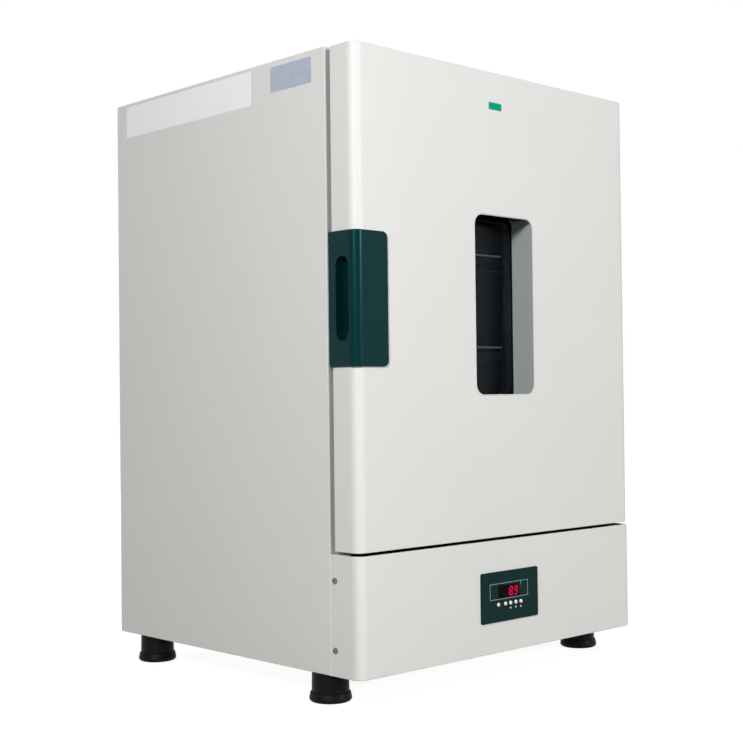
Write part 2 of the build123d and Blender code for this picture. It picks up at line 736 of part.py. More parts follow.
def rubber_foot():
    """A rubber foot that stands on the floor at the origin, hollow under its screw."""
    shoulder = FOOT_SKIRT_HEIGHT
    outline = [
        (FOOT_SCREW_RADIUS + FIT, FOOT_RECESS_DEPTH),
        (FOOT_RECESS_RADIUS, FOOT_RECESS_DEPTH),
        (FOOT_RECESS_RADIUS, 0),
        (FOOT_SKIRT_RADIUS, 0),
        (FOOT_SHOULDER_RADIUS, shoulder),
        (FOOT_WAIST_RADIUS, shoulder),
        (FOOT_TOP_RADIUS, FOOT_HEIGHT),
        (FOOT_SCREW_RADIUS + FIT, FOOT_HEIGHT),
    ]
    rounds = [
        (FOOT_SKIRT_RADIUS, 0, FOOT_BOTTOM_ROUND),
        (FOOT_SHOULDER_RADIUS, shoulder, FOOT_SHOULDER_ROUND),
    ]
    return turned(outline, rounds)


def foot_hole_tools():
    """Holes for the foot screws through the sheets above them."""
    return [
        rod((x, y, BASE_Z - SHEET), (0, 0, 1), FOOT_SCREW_RADIUS + FIT, 2 * HEM)
        for x, y in foot_places().values()
    ]


def foot_screws():
    """A screw up through each foot, with its nut on the base plate."""
    seat = FOOT_RECESS_DEPTH
    nut = BASE_Z + HEM
    screw = rod((0, 0, seat), (0, 0, 1), FOOT_SCREW_RADIUS, nut + FOOT_NUT_HEIGHT + FIT - seat)
    head = (0, 0, seat - FOOT_SCREW_HEAD_HEIGHT)
    screw += rod(head, (0, 0, 1), FOOT_SCREW_HEAD_RADIUS, FOOT_SCREW_HEAD_HEIGHT)
    screw += Pos(0, 0, nut) * extrude(RegularPolygon(FOOT_NUT_RADIUS, 6), amount=FOOT_NUT_HEIGHT)
    return group([Pos(x, y, 0) * screw for x, y in foot_places().values()])


# Shelves


def shelf_uprights():
    """Four slotted channels on the chamber's side walls."""
    height = (CHAMBER_LOW_Z + UPRIGHT_MARGIN, CHAMBER_TOP_Z - UPRIGHT_MARGIN)
    wall = -CHAMBER_WIDTH / 2
    uprights = []
    for setback in UPRIGHT_SETBACKS:
        depth = around(SEAT_Y + setback, UPRIGHT_WIDTH)
        strip = block((wall, wall + UPRIGHT_DEPTH), depth, height)
        hollow = block((wall, wall + UPRIGHT_DEPTH - UPRIGHT_SHEET), grown(depth, -UPRIGHT_SHEET), height)
        strip -= hollow
        pitch = (height[1] - height[0]) / UPRIGHT_SLOTS
        for row in range(UPRIGHT_SLOTS):
            strip -= block(
                (wall, wall + 2 * UPRIGHT_DEPTH),
                around(SEAT_Y + setback, UPRIGHT_SLOT_WIDTH),
                around(height[0] + (row + 0.5) * pitch, UPRIGHT_SLOT_HEIGHT),
            )
        uprights += both_sides(strip)
    return group(uprights)


def runner_top(shelf_height):
    """Top of the ledge that carries a shelf at a height."""
    return BASE_Z + shelf_height - SHELF_ROD_RADIUS - FIT


def shelf_runners():
    """An angle strip on each side for each shelf."""
    web = -CHAMBER_WIDTH / 2 + UPRIGHT_DEPTH
    depth = (SEAT_Y + RUNNER_START, SEAT_Y + RUNNER_START + RUNNER_LENGTH)
    runners = []
    for shelf_height in SHELF_HEIGHTS:
        top = runner_top(shelf_height)
        strip = block((web, web + RUNNER_SHEET), depth, (top - RUNNER_DEPTH, top))
        strip += block((web, web + RUNNER_LEDGE), depth, (top - RUNNER_SHEET, top))
        runners += both_sides(strip)
    return group(runners)


def wire_shelf(shelf_height):
    """A rod frame with thin wires from front to back, welded on two cross wires."""
    middle = BASE_Z + shelf_height
    reach = CHAMBER_WIDTH / 2 - UPRIGHT_DEPTH - RUNNER_SHEET - SHELF_SIDE_GAP - SHELF_ROD_RADIUS
    front = SEAT_Y + SHELF_FRONT + SHELF_ROD_RADIUS
    back = front + SHELF_DEPTH - 2 * SHELF_ROD_RADIUS
    centre = Pos(0, (front + back) / 2, middle)
    loop = centre * RectangleRounded(2 * reach, back - front, SHELF_CORNER_RADIUS).wire()
    start = Plane(origin=(0, front, middle), x_dir=(0, 1, 0), z_dir=(1, 0, 0))
    frame = sweep(start * Circle(SHELF_ROD_RADIUS), path=loop)
    wires = []
    off_middle = SHELF_WIRE_RADIUS - SHELF_WIRE_BITE
    count = int((reach - SHELF_CORNER_RADIUS) // SHELF_WIRE_PITCH)
    for step in range(-count, count + 1):
        start = (step * SHELF_WIRE_PITCH, front, middle + off_middle)
        wires.append(rod(start, (0, 1, 0), SHELF_WIRE_RADIUS, back - front))
    for y in (front + SHELF_CROSS_INSET, back - SHELF_CROSS_INSET):
        wires.append(rod((-reach, y, middle - off_middle), (1, 0, 0), SHELF_WIRE_RADIUS, 2 * reach))
    return frame.fuse(*wires)


# Air circulation


def air_baffle():
    """Perforated plate before the fan, carried by its folded top and bottom."""
    width = grown((-CHAMBER_WIDTH / 2, CHAMBER_WIDTH / 2), -BAFFLE_MARGIN)
    height = grown((CHAMBER_LOW_Z, CHAMBER_TOP_Z), -BAFFLE_MARGIN)
    baffle = block(width, (BAFFLE_Y, CHAMBER_BACK_Y), height)
    baffle -= block(grown(width, SHEET), (BAFFLE_Y + SHEET, CHAMBER_BACK_Y + SHEET), grown(height, -SHEET))
    holes = []
    for ring_radius, count in zip(BAFFLE_RING_RADII, BAFFLE_RING_HOLES):
        for step in range(count):
            angle = 2 * math.pi * step / count
            place = (
                ring_radius * math.cos(angle),
                BAFFLE_Y - SHEET,
                CHAMBER_MID_Z + ring_radius * math.sin(angle),
            )
            holes.append(rod(place, (0, 1, 0), BAFFLE_HOLE_RADIUS, 3 * SHEET))
    x, z = probe_place()
    holes.append(rod((x, BAFFLE_Y - SHEET, z), (0, 1, 0), PROBE_RADIUS + FIT, 3 * SHEET))
    return baffle - holes


def on_circle(radius, degrees):
    """A point of a circle about the origin."""
    return (radius * math.cos(math.radians(degrees)), radius * math.sin(math.radians(degrees)))


def fan_blade():
    """Outline of one forward-curved blade between the eye and the rim."""
    middle = (FAN_EYE_RADIUS + FAN_RADIUS) / 2
    stations = ((FAN_EYE_RADIUS, 0), (middle, FAN_BLADE_LEAD / 5), (FAN_RADIUS, FAN_BLADE_LEAD))
    sides = []
    for side in (-1, 1):
        points = []
        for radius, degrees in stations:
            half = math.degrees(FAN_BLADE_THICKNESS / 2 / radius)
            points.append(on_circle(radius, degrees + side * half))
        sides.append(points)
    near, far = sides
    outline = [
        ThreePointArc(*near),
        Line(near[2], far[2]),
        ThreePointArc(*reversed(far)),
        Line(far[0], near[0]),
    ]
    return make_face(outline)


def fan_impeller():
    """Back plate, hub, curved blades and the ring that joins their front ends."""
    front = BAFFLE_Y + SHEET + FAN_SETBACK
    wheel = extrude(Circle(FAN_RADIUS), amount=-FAN_PLATE)
    wheel = Pos(0, 0, FAN_WIDTH) * wheel
    blade = extrude(fan_blade(), amount=FAN_WIDTH - FAN_PLATE / 2)
    blades = [Rot(Z=360 * step / FAN_BLADES) * blade for step in range(FAN_BLADES)]
    ring = extrude(Circle(FAN_RADIUS) - Circle(FAN_EYE_RADIUS), amount=FAN_PLATE)
    hub = Pos(0, 0, FAN_WIDTH - FAN_HUB_LENGTH) * extrude(Circle(FAN_HUB_RADIUS), amount=FAN_HUB_LENGTH)
    wheel = wheel.fuse(*blades, ring, hub)
    wheel -= Pos(0, 0, -FAN_WIDTH) * extrude(Circle(SHAFT_RADIUS + SHAFT_FIT), amount=3 * FAN_WIDTH)
    return set_at(wheel, (0, front, CHAMBER_MID_Z), (0, 1, 0))


def fan_shaft():
    """Shaft from the impeller's hub through the liner into the motor."""
    start = BAFFLE_Y + SHEET + FAN_SETBACK + FAN_WIDTH - FAN_HUB_LENGTH
    end = LINER_BACK_Y + MOTOR_STAND + MOTOR_BORE_DEPTH - FIT
    return rod((0, start, CHAMBER_MID_Z), (0, 1, 0), SHAFT_RADIUS, end - start)


def motor_bracket():
    """Folded bridge on the liner's back wall that carries the motor."""
    depth = (LINER_BACK_Y, LINER_BACK_Y + MOTOR_STAND)
    width, height = around(0, BRACKET_WIDTH), around(CHAMBER_MID_Z, BRACKET_HEIGHT)
    bridge = block(width, depth, height)
    inside = (depth[0] - SHEET, depth[1] - BRACKET_SHEET)
    bridge -= block(grown(width, -BRACKET_SHEET), inside, grown(height, SHEET))
    for side in (-1, 1):
        start = side * BRACKET_WIDTH / 2
        foot = sorted((start, start + side * MOTOR_FOOT))
        bridge += block(foot, (depth[0], depth[0] + BRACKET_SHEET), height)
    place = (0, depth[1] - 2 * BRACKET_SHEET, CHAMBER_MID_Z)
    return bridge - rod(place, (0, 1, 0), SHAFT_HOLE_RADIUS, 4 * BRACKET_SHEET)


def fan_motor():
    """Round motor behind the bracket, with a rear bearing cap."""
    end = MOTOR_LENGTH + MOTOR_CAP_LENGTH
    outline = [
        (SHAFT_RADIUS + SHAFT_FIT, 0),
        (MOTOR_RADIUS, 0),
        (MOTOR_RADIUS, MOTOR_LENGTH),
        (MOTOR_CAP_RADIUS, MOTOR_LENGTH),
        (MOTOR_CAP_RADIUS, end),
        (0, end),
        (0, MOTOR_BORE_DEPTH),
        (SHAFT_RADIUS + SHAFT_FIT, MOTOR_BORE_DEPTH),
    ]
    motor = turned(outline, [(MOTOR_RADIUS, MOTOR_LENGTH, EDGE_RADIUS * 4)])
    return set_at(motor, (0, LINER_BACK_Y + MOTOR_STAND, CHAMBER_MID_Z), (0, 1, 0))


def heater_ends():
    """Where the heater's two tails pass through the liner's back wall."""
    ends = [on_circle(HEATER_RING_RADIUS, angle) for angle in around(HEATER_GAP_MIDDLE, HEATER_GAP_ANGLE)]
    return [(x, CHAMBER_MID_Z + z) for x, z in ends]


def heater_element():
    """Tubular heater: a ring round the fan whose two ends turn back through the wall."""
    y = CHAMBER_BACK_Y - HEATER_SETBACK
    section = Pos(HEATER_RING_RADIUS, 0, 0) * (Plane.XZ * Circle(HEATER_TUBE_RADIUS))
    ring = revolve(section, Axis.Z, 360 - HEATER_GAP_ANGLE)
    ring = Rot(Z=HEATER_GAP_MIDDLE + HEATER_GAP_ANGLE / 2) * ring
    upright = Plane(origin=(0, y, CHAMBER_MID_Z), x_dir=(1, 0, 0), z_dir=(0, -1, 0))
    element = upright.location * ring
    for x, z in heater_ends():
        length = HEATER_SETBACK + LINER + HEATER_TAIL
        element += rod((x, y, z), (0, 1, 0), HEATER_TUBE_RADIUS, length)
        element += Pos(x, y, z) * Sphere(HEATER_TUBE_RADIUS)
    return element


def probe_place():
    """Where the temperature probe passes through the back wall."""
    return (CHAMBER_WIDTH / 2 - PROBE_INSET_SIDE, CHAMBER_TOP_Z - BAFFLE_MARGIN - PROBE_INSET_TOP)


def temperature_probe():
    """Sheathed probe through the back wall and the baffle, with its gland nut outside."""
    x, z = probe_place()
    start = BAFFLE_Y - PROBE_REACH
    probe = rod((x, start, z), (0, 1, 0), PROBE_RADIUS, LINER_BACK_Y + PROBE_TAIL - start)
    probe = fillet(edges_at(probe, Y=start), PROBE_RADIUS * 0.8)
    nut = facing_y(x, LINER_BACK_Y, z) * RegularPolygon(PROBE_NUT_RADIUS, 6)
    return probe + extrude(nut, amount=PROBE_NUT_HEIGHT)


# Exhaust port


def vent_windows(inner, outer, low):
    """Sectors that cut the side windows of the port or of its cap."""
    windows = []
    for step in range(VENT_COUNT):
        wedge = make_face(
            Polyline(
                (0, 0),
                on_circle(2 * outer, -VENT_ANGLE / 2),
                on_circle(2 * outer, VENT_ANGLE / 2),
                close=True,
            )
        )
        wedge = wedge & (Circle(outer) - Circle(inner))
        window = Pos(0, EXHAUST_Y, low) * extrude(wedge, amount=VENT_HEIGHT)
        windows.append(window.rotate(Axis((0, EXHAUST_Y, 0), (0, 0, 1)), 360 * step / VENT_COUNT))
    return windows


def exhaust_tube():
    """Tube from the chamber's top wall through the cabinet's top, with side windows."""
    low, high = CHAMBER_TOP_Z, TOP_Z + EXHAUST_RISE
    start = (0, EXHAUST_Y, low)
    tube = rod(start, (0, 0, 1), EXHAUST_RADIUS, high - low)
    tube += rod((0, EXHAUST_Y, TOP_Z), (0, 0, 1), EXHAUST_FLANGE_RADIUS, EXHAUST_FLANGE)
    tube -= rod((0, EXHAUST_Y, low - SHEET), (0, 0, 1), EXHAUST_RADIUS - EXHAUST_WALL, high - low + HEM)
    reach = (EXHAUST_RADIUS - 2 * EXHAUST_WALL, EXHAUST_RADIUS + EXHAUST_WALL)
    return tube - vent_windows(*reach, TOP_Z + VENT_SILL)


def damper_cap():
    """Turning cap over the port: its skirt opens or shuts the tube's windows."""
    inner = EXHAUST_RADIUS + FIT
    outer = inner + CAP_WALL
    low, high = TOP_Z + EXHAUST_FLANGE + FIT, TOP_Z + EXHAUST_RISE + FIT
    cap = rod((0, EXHAUST_Y, low), (0, 0, 1), outer, high + CAP_TOP - low)
    cap -= rod((0, EXHAUST_Y, low - SHEET), (0, 0, 1), inner, high - low + SHEET)
    windows = vent_windows(inner - CAP_WALL, outer + CAP_WALL, TOP_Z + VENT_SILL)
    axis = Axis((0, EXHAUST_Y, 0), (0, 0, 1))
    cap -= [window.rotate(axis, DAMPER_TURN) for window in windows]
    grip = (high + CAP_TOP, high + CAP_TOP + CAP_GRIP_HEIGHT)
    return cap + block(around(0, CAP_GRIP_LENGTH), around(EXHAUST_Y, CAP_GRIP_WIDTH), grip)


# Rear of the cabinet


def louvre():
    """One pressed hood, about the origin, that looks down and stands out along Y."""
    outer = rod((-LOUVRE_LENGTH / 2, 0, 0), (1, 0, 0), LOUVRE_HEIGHT, LOUVRE_LENGTH)
    inner = rod((-LOUVRE_LENGTH / 2 + SHEET, 0, 0), (1, 0, 0), LOUVRE_HEIGHT - SHEET, LOUVRE_LENGTH - HEM)
    quarter = block(around(0, LOUVRE_LENGTH), (0, LOUVRE_HEIGHT), (0, LOUVRE_HEIGHT))
    return (outer & quarter) - inner


def louvre_places():
    """Middle of the lower edge of each louvre."""
    return [
        (x, BACK_Y + SHEET, BASE_Z + LOUVRE_FIRST + row * LOUVRE_PITCH)
        for x in LOUVRE_COLUMNS
        for row in range(LOUVRE_ROWS)
    ]


def rear_cover():
    """Screwed rear sheet with three columns of louvres and the holes of what it carries."""
    width = grown((LEFT, RIGHT), -COVER_MARGIN)
    height = grown((BASE_Z, TOP_Z), -COVER_MARGIN)
    cover = block(width, (BACK_Y, BACK_Y + SHEET), height)
    cuts, hoods = [], []
    for x, y, z in louvre_places():
        opening = LOUVRE_LENGTH - HEM
        cuts.append(block(around(x, opening), (BACK_Y - SHEET, y + SHEET), (z, z + LOUVRE_HEIGHT - SHEET)))
        hoods.append(Pos(x, y, z) * louvre())
    cover = (cover - cuts).fuse(*hoods)
    gland = (GLAND_X, BACK_Y - SHEET, BASE_Z + GLAND_HEIGHT)
    cover -= rod(gland, (0, 1, 0), GLAND_THREAD_RADIUS + FIT, 4 * SHEET)
    switch_height = around(BASE_Z + SWITCH_HEIGHT, SWITCH_BODY_HEIGHT + 2 * FIT)
    switch_width = around(SWITCH_X, SWITCH_BODY_WIDTH + 2 * FIT)
    cover -= block(switch_width, (BACK_Y - SHEET, BACK_Y + 2 * SHEET), switch_height)
    return cover - screw_holes(rear_screw_places())


def cable_gland():
    """Bored gland with a hexagon body, a domed nut outside and a lock nut inside."""
    body = extrude(RegularPolygon(GLAND_HEX_RADIUS, 6), amount=GLAND_HEX_LENGTH)
    dome = Pos(0, 0, GLAND_HEX_LENGTH) * extrude(Circle(GLAND_DOME_RADIUS), amount=GLAND_DOME_LENGTH)
    dome = fillet(edges_at(dome, Z=GLAND_HEX_LENGTH + GLAND_DOME_LENGTH), GLAND_DOME_RADIUS * 0.4)
    inside = SHEET + GLAND_NUT_HEIGHT + EDGE_RADIUS
    thread = Pos(0, 0, -inside) * extrude(Circle(GLAND_THREAD_RADIUS), amount=inside)
    nut = extrude(RegularPolygon(GLAND_HEX_RADIUS, 6), amount=GLAND_NUT_HEIGHT)
    nut = Pos(0, 0, -SHEET - GLAND_NUT_HEIGHT) * nut
    gland = body + dome + thread + nut
    length = inside + GLAND_HEX_LENGTH + GLAND_DOME_LENGTH
    gland -= Pos(0, 0, -2 * inside) * extrude(Circle(GLAND_BORE_RADIUS), amount=2 * length)
    return set_at(gland, (GLAND_X, BACK_Y + SHEET, BASE_Z + GLAND_HEIGHT), (0, 1, 0))


def rocker_axis():
    """Middle of the power rocker's pivot."""
    return (SWITCH_X, BACK_Y + SHEET - ROCKER_SINK, BASE_Z + SWITCH_HEIGHT)


def power_switch_frame():
    """Snap-in switch body with a bezel and the round pocket of its rocker."""
    face = BACK_Y + SHEET
    x, y, z = rocker_axis()
    bezel = (face, face + SWITCH_BEZEL)
    frame = block(around(x, SWITCH_BEZEL_WIDTH), bezel, around(z, SWITCH_BEZEL_HEIGHT))
    body = (face - SWITCH_BODY_DEPTH, face)
    frame += block(around(x, SWITCH_BODY_WIDTH), body, around(z, SWITCH_BODY_HEIGHT))
    pocket_width = ROCKER_WIDTH + 2 * FIT
    return frame - rod((x - pocket_width / 2, y, z), (1, 0, 0), ROCKER_RADIUS + FIT, pocket_width)


def power_rocker():
    """Round-backed rocker with a shallow valley, shown tipped to its off side."""
    rise = math.tan(math.radians(ROCKER_TILT)) * ROCKER_RADIUS
    outline = Circle(ROCKER_RADIUS) & make_face(
        Polyline(
            (-ROCKER_RADIUS, -ROCKER_RADIUS),
            (ROCKER_RADIUS, -ROCKER_RADIUS),
            (ROCKER_RADIUS, ROCKER_VALLEY + rise),
            (0, ROCKER_VALLEY),
            (-ROCKER_RADIUS, ROCKER_VALLEY + rise),
            close=True,
        )
    )
    x, y, z = rocker_axis()
    side = Plane(origin=(x - ROCKER_WIDTH / 2, y, z), x_dir=(0, 0, -1), z_dir=(1, 0, 0))
    rocker = extrude(side * outline, amount=ROCKER_WIDTH)
    return rocker.rotate(Axis((x, y, z), (1, 0, 0)), ROCKER_TILT)


# Relay on the base plate


def heat_sink():
    """Finned aluminium block, its fins beside the relay that it carries."""
    low = BASE_Z + HEM
    width, depth = around(RELAY_X, SINK_WIDTH), around(SEAT_Y + RELAY_SETBACK, SINK_LENGTH)
    sink = block(width, depth, (low, low + SINK_BASE))
    pitch = (SINK_LENGTH - SINK_FIN) / (SINK_FINS - 1)
    fin_width = (width[0], width[0] + SINK_WIDTH - RELAY_HEIGHT)
    fins = []
    for step in range(SINK_FINS):
        start = depth[0] + step * pitch
        fins.append(block(fin_width, (start, start + SINK_FIN), (low, low + SINK_HEIGHT)))
    return sink.fuse(*fins)


def solid_state_relay():
    """Relay block that stands on the heat sink's base beside the fins."""
    low = BASE_Z + HEM + SINK_BASE
    high_x = RELAY_X + SINK_WIDTH / 2
    width = (high_x - RELAY_HEIGHT + FIT, high_x)
    body = block(width, around(SEAT_Y + RELAY_SETBACK, RELAY_LENGTH), (low, low + RELAY_WIDTH))
    return fillet(body.edges().filter_by(Axis.Z), EDGE_RADIUS)


# Door


def window_slab(growth, depth):
    """The window's shape, grown all round, between two depths."""
    width = grown(around(0, WINDOW_WIDTH), growth)
    height = grown((WINDOW_LOW_Z, WINDOW_LOW_Z + WINDOW_HEIGHT), growth)
    return slab(width, depth, height, WINDOW_RADIUS + growth)


def door_envelope(inset, depth):
    """The door's outline with rounded front corners, moved in by an inset."""
    width, height = grown((DOOR_LEFT, DOOR_RIGHT), -inset), grown((DOOR_LOW_Z, DOOR_TOP_Z), -inset)
    solid = block(width, depth, height)
    corners = [edge for x in width for edge in edges_at(solid, X=x, Y=depth[0])]
    return fillet(corners, CORNER_RADIUS - inset)


def grip_pocket(growth):
    """The finger recess in the handle, grown all round: an upright slot open to the left."""
    inside = DOOR_LEFT - HANDLE_PROUD + GRIP_DEPTH + growth
    plane = Plane(
        origin=(inside, SEAT_Y - GRIP_SETBACK, BASE_Z + HANDLE_BOTTOM + HANDLE_HEIGHT / 2),
        x_dir=(0, 0, 1),
        z_dir=(-1, 0, 0),
    )
    outline = SlotOverall(GRIP_HEIGHT + 2 * growth, GRIP_WIDTH + 2 * growth)
    return extrude(plane * outline, amount=2 * GRIP_DEPTH)


def door_shell():
    """Folded outer skin of the door, open at the back, cut for the window and the handle."""
    outer = door_envelope(0, (FACE_Y, DOOR_BACK_Y))
    rims = [
        edge
        for z in (DOOR_LOW_Z, DOOR_TOP_Z)
        for edge in edges_at(outer, Z=z)
        if edge.bounding_box().min.Y < DOOR_BACK_Y - NEAR
    ]
    outer = fillet(rims, EDGE_RADIUS)
    shell = outer - door_envelope(SHEET, (FACE_Y + SHEET, SEAT_Y))
    shell -= window_slab(WINDOW_FRAME_WALL + FIT, (FACE_Y - SHEET, FACE_Y + HEM))
    return shell - handle_notch() - screw_holes(leaf_screw_places(DOOR_LEAF_SCREW_Y))


def handle_notch():
    """Room in the door's left edge for the back of the finger recess."""
    pocket = grip_pocket(GRIP_WALL + FIT).bounding_box()
    depth = (pocket.min.Y, SEAT_Y)
    return block((DOOR_LEFT - SHEET, pocket.max.X), depth, (pocket.min.Z, pocket.max.Z))


def door_inner_plate():
    """Sheet that closes the door's back, with room for the glazing."""
    width = grown((DOOR_LEFT, DOOR_RIGHT), -SHEET)
    height = grown((DOOR_LOW_Z, DOOR_TOP_Z), -SHEET)
    plate = block(width, (DOOR_BACK_Y - SHEET, DOOR_BACK_Y), height)
    plate -= window_slab(GLASS_MARGIN + FIT, (DOOR_BACK_Y - HEM, SEAT_Y))
    return plate - handle_notch()


def pan_bounds():
    """Width and height of the raised inner pan."""
    width = grown((-CHAMBER_WIDTH / 2, CHAMBER_WIDTH / 2), -PAN_MARGIN_SIDE)
    height = grown((CHAMBER_LOW_Z, CHAMBER_TOP_Z), -PAN_MARGIN_SIDE)
    return width, height


def door_inner_pan():
    """Pressed stainless pan that stands into the chamber's mouth, round the inner glass."""
    width, height = pan_bounds()
    top = SEAT_Y + PAN_PROUD
    pan = slab(width, (DOOR_BACK_Y, top), height, PAN_RADIUS)
    flange = (DOOR_BACK_Y, DOOR_BACK_Y + PAN_WALL)
    pan += slab(grown(width, PAN_FLANGE), flange, grown(height, PAN_FLANGE), PAN_RADIUS)
    hollow = slab(
        grown(width, -PAN_WALL),
        (DOOR_BACK_Y - PAN_WALL, top - PAN_WALL),
        grown(height, -PAN_WALL),
        PAN_RADIUS - PAN_WALL,
    )
    return pan - hollow - window_slab(0, (DOOR_BACK_Y, top + PAN_WALL))


def door_insulation():
    """Mineral wool in the door and in its pan, cut out round the window."""
    width = grown((DOOR_LEFT, DOOR_RIGHT), -DOOR_WOOL_INSET)
    height = grown((DOOR_LOW_Z, DOOR_TOP_Z), -DOOR_WOOL_INSET)
    main = block(width, (FACE_Y + SHEET, DOOR_BACK_Y - SHEET), height)
    main -= window_slab(GLASS_MARGIN + FIT, (FACE_Y, DOOR_BACK_Y))
    pan_width, pan_height = pan_bounds()
    inner = slab(
        grown(pan_width, -PAN_WALL - FIT),
        (DOOR_BACK_Y, SEAT_Y + PAN_PROUD - PAN_WALL),
        grown(pan_height, -PAN_WALL - FIT),
        PAN_RADIUS - PAN_WALL,
    )
    inner -= window_slab(GLASS_MARGIN + FIT, (DOOR_BACK_Y - SHEET, SEAT_Y + 2 * PAN_PROUD))
    return group([main, inner])


def window_frame():
    """Brushed tunnel from the door's front back to the outer glass."""
    tunnel = window_slab(WINDOW_FRAME_WALL, (FACE_Y, GLASS_Y))
    tunnel += window_slab(GLASS_MARGIN, (GLASS_Y - WINDOW_FRAME_WALL, GLASS_Y))
    return tunnel - window_slab(0, (FACE_Y - SHEET, GLASS_Y + SHEET))


def glass_pane(front):
    """A pane larger than the window all round."""
    return window_slab(GLASS_MARGIN, (front, front + GLASS_THICKNESS))


def inner_glass_y():
    """Front of the inner pane, which bears on the pan."""
    return SEAT_Y + PAN_PROUD - PAN_WALL - GLASS_THICKNESS


def window_spacer():
    """Dark frame that holds the two panes apart."""
    depth = (GLASS_Y + GLASS_THICKNESS, inner_glass_y())
    return window_slab(GLASS_MARGIN, depth) - window_slab(0, grown(depth, SHEET))


def door_gasket():
    """Soft ring on the door's back that meets the front frame."""
    width, height = (
        grown((DOOR_LEFT, DOOR_RIGHT), -GASKET_INSET),
        grown((DOOR_LOW_Z, DOOR_TOP_Z), -GASKET_INSET),
    )
    depth = (DOOR_BACK_Y, SEAT_Y - FIT)
    outer = slab(width, depth, height, GASKET_WIDTH)
    outer = fillet(edges_at(outer, Y=depth[1]), GASKET_ROUND)
    inner = slab(
        grown(width, -GASKET_WIDTH), grown(depth, SHEET), grown(height, -GASKET_WIDTH), GASKET_WIDTH / 4
    )
    return outer - inner


def door_handle():
    """Moulding wrapped round the door's left edge, with a finger recess in its side."""
    low, high = BASE_Z + HANDLE_BOTTOM, BASE_Z + HANDLE_BOTTOM + HANDLE_HEIGHT
    left, right = DOOR_LEFT - HANDLE_PROUD, DOOR_LEFT + HANDLE_REACH
    front, back = FACE_Y - HANDLE_PROUD, SEAT_Y - HANDLE_LIP_DEPTH
    body = block((left, right), (front, back), (low, high))
    body = fillet(edges_at(body, X=left, Y=front), HANDLE_CORNER_RADIUS)
    body = fillet([edge for z in (low, high) for edge in edges_at(body, X=right, Z=z)], HANDLE_RADIUS)
    ends = [edge for z in (low, high) for edge in edges_at(body, Z=z)]
    rims = [edge for edge in ends if edge.bounding_box().min.Y < back - NEAR]
    sides = [edge for edge in edges_at(body, Y=front) if edge.bounding_box().size.Z > NEAR]
    body = fillet(rims + sides, HANDLE_EDGE)
    body -= door_envelope(0, (FACE_Y, DOOR_BACK_Y))
    body -= block((DOOR_LEFT + HANDLE_LIP, right + SHEET), (DOOR_BACK_Y, SEAT_Y), grown((low, high), SHEET))
    inside = block((DOOR_LEFT - HANDLE_PROUD / 2, RIGHT), (FACE_Y, SEAT_Y), (BASE_Z, TOP_Z))
    body += grip_pocket(GRIP_WALL) & inside
    body -= grip_pocket(0)
    mouth = grip_pocket(NEAR)
    rim = [edge for edge in edges_at(body, X=left) if mouth.is_inside(edge.center())]
    return fillet(rim, GRIP_EDGE)


# Hinges and catches


def hinge_leaf(back_x, depth, knuckle_low, height):
    """A flat leaf joined by an ear to its knuckle, which is bored for the pin."""
    thickness = (back_x, RIGHT + HINGE_LEAF)
    ear_depth = (min(HINGE_Y, depth[0]), max(HINGE_Y, depth[1]))
    leaf = block(thickness, depth, around(height, LEAF_SCREW_SPREAD + KNUCKLE_HEIGHT))
    leaf += block(thickness, ear_depth, (knuckle_low, knuckle_low + KNUCKLE_HEIGHT))
    leaf += rod((HINGE_X, HINGE_Y, knuckle_low), (0, 0, 1), KNUCKLE_RADIUS, KNUCKLE_HEIGHT)
    below = (HINGE_X, HINGE_Y, knuckle_low - SHEET)
    return leaf - rod(below, (0, 0, 1), HINGE_PIN_RADIUS + SHAFT_FIT, KNUCKLE_HEIGHT + HEM)


def cabinet_hinge_leaves():
    """Lower halves of the two lift-off hinges, on the right side panel."""
    depth = (SEAT_Y + HINGE_AXIS_AHEAD, SEAT_Y + CABINET_LEAF_REACH)
    below = FIT / 2 + KNUCKLE_HEIGHT
    leaves = [hinge_leaf(RIGHT, depth, height - below, height) for height in hinge_heights()]
    holes = screw_holes(leaf_screw_places(CABINET_LEAF_SCREW_Y))
    return group([leaf - holes for leaf in leaves])


def door_hinge_leaves():
    """Upper halves of the two hinges, on the door's right side."""
    depth = (DOOR_BACK_Y - DOOR_LEAF_REACH, DOOR_BACK_Y)
    leaves = [hinge_leaf(DOOR_RIGHT, depth, height + FIT / 2, height) for height in hinge_heights()]
    holes = screw_holes(leaf_screw_places(DOOR_LEAF_SCREW_Y))
    return group([leaf - holes for leaf in leaves])


def hinge_pins():
    """A headed pin through both knuckles of each hinge."""
    pins = []
    for height in hinge_heights():
        low = height - FIT / 2 - KNUCKLE_HEIGHT - PIN_HEAD_HEIGHT
        pin = rod((HINGE_X, HINGE_Y, low), (0, 0, 1), PIN_HEAD_RADIUS, PIN_HEAD_HEIGHT)
        length = 2 * KNUCKLE_HEIGHT + FIT + PIN_HEAD_HEIGHT
        pins.append(pin + rod((HINGE_X, HINGE_Y, low), (0, 0, 1), HINGE_PIN_RADIUS, length))
    return group(pins)


def magnet_heights():
    """Middle heights of the two catches, above and below the handle's middle."""
    middle = BASE_Z + HANDLE_BOTTOM + HANDLE_HEIGHT / 2
    return (middle - MAGNET_SPACING / 2, middle + MAGNET_SPACING / 2)


def magnet_width():
    """Low and high X of the catches, which stand just outside the pan's flange."""
    right = pan_bounds()[0][0] - PAN_FLANGE - MAGNET_GAP
    return (right - MAGNET_WIDTH, right)


def magnet_catches():
    """Magnets on the front frame, near the door's free edge."""
    depth = (DOOR_BACK_Y + KEEPER_THICKNESS + FIT, SEAT_Y)
    return group([block(magnet_width(), depth, around(height, MAGNET_HEIGHT)) for height in magnet_heights()])


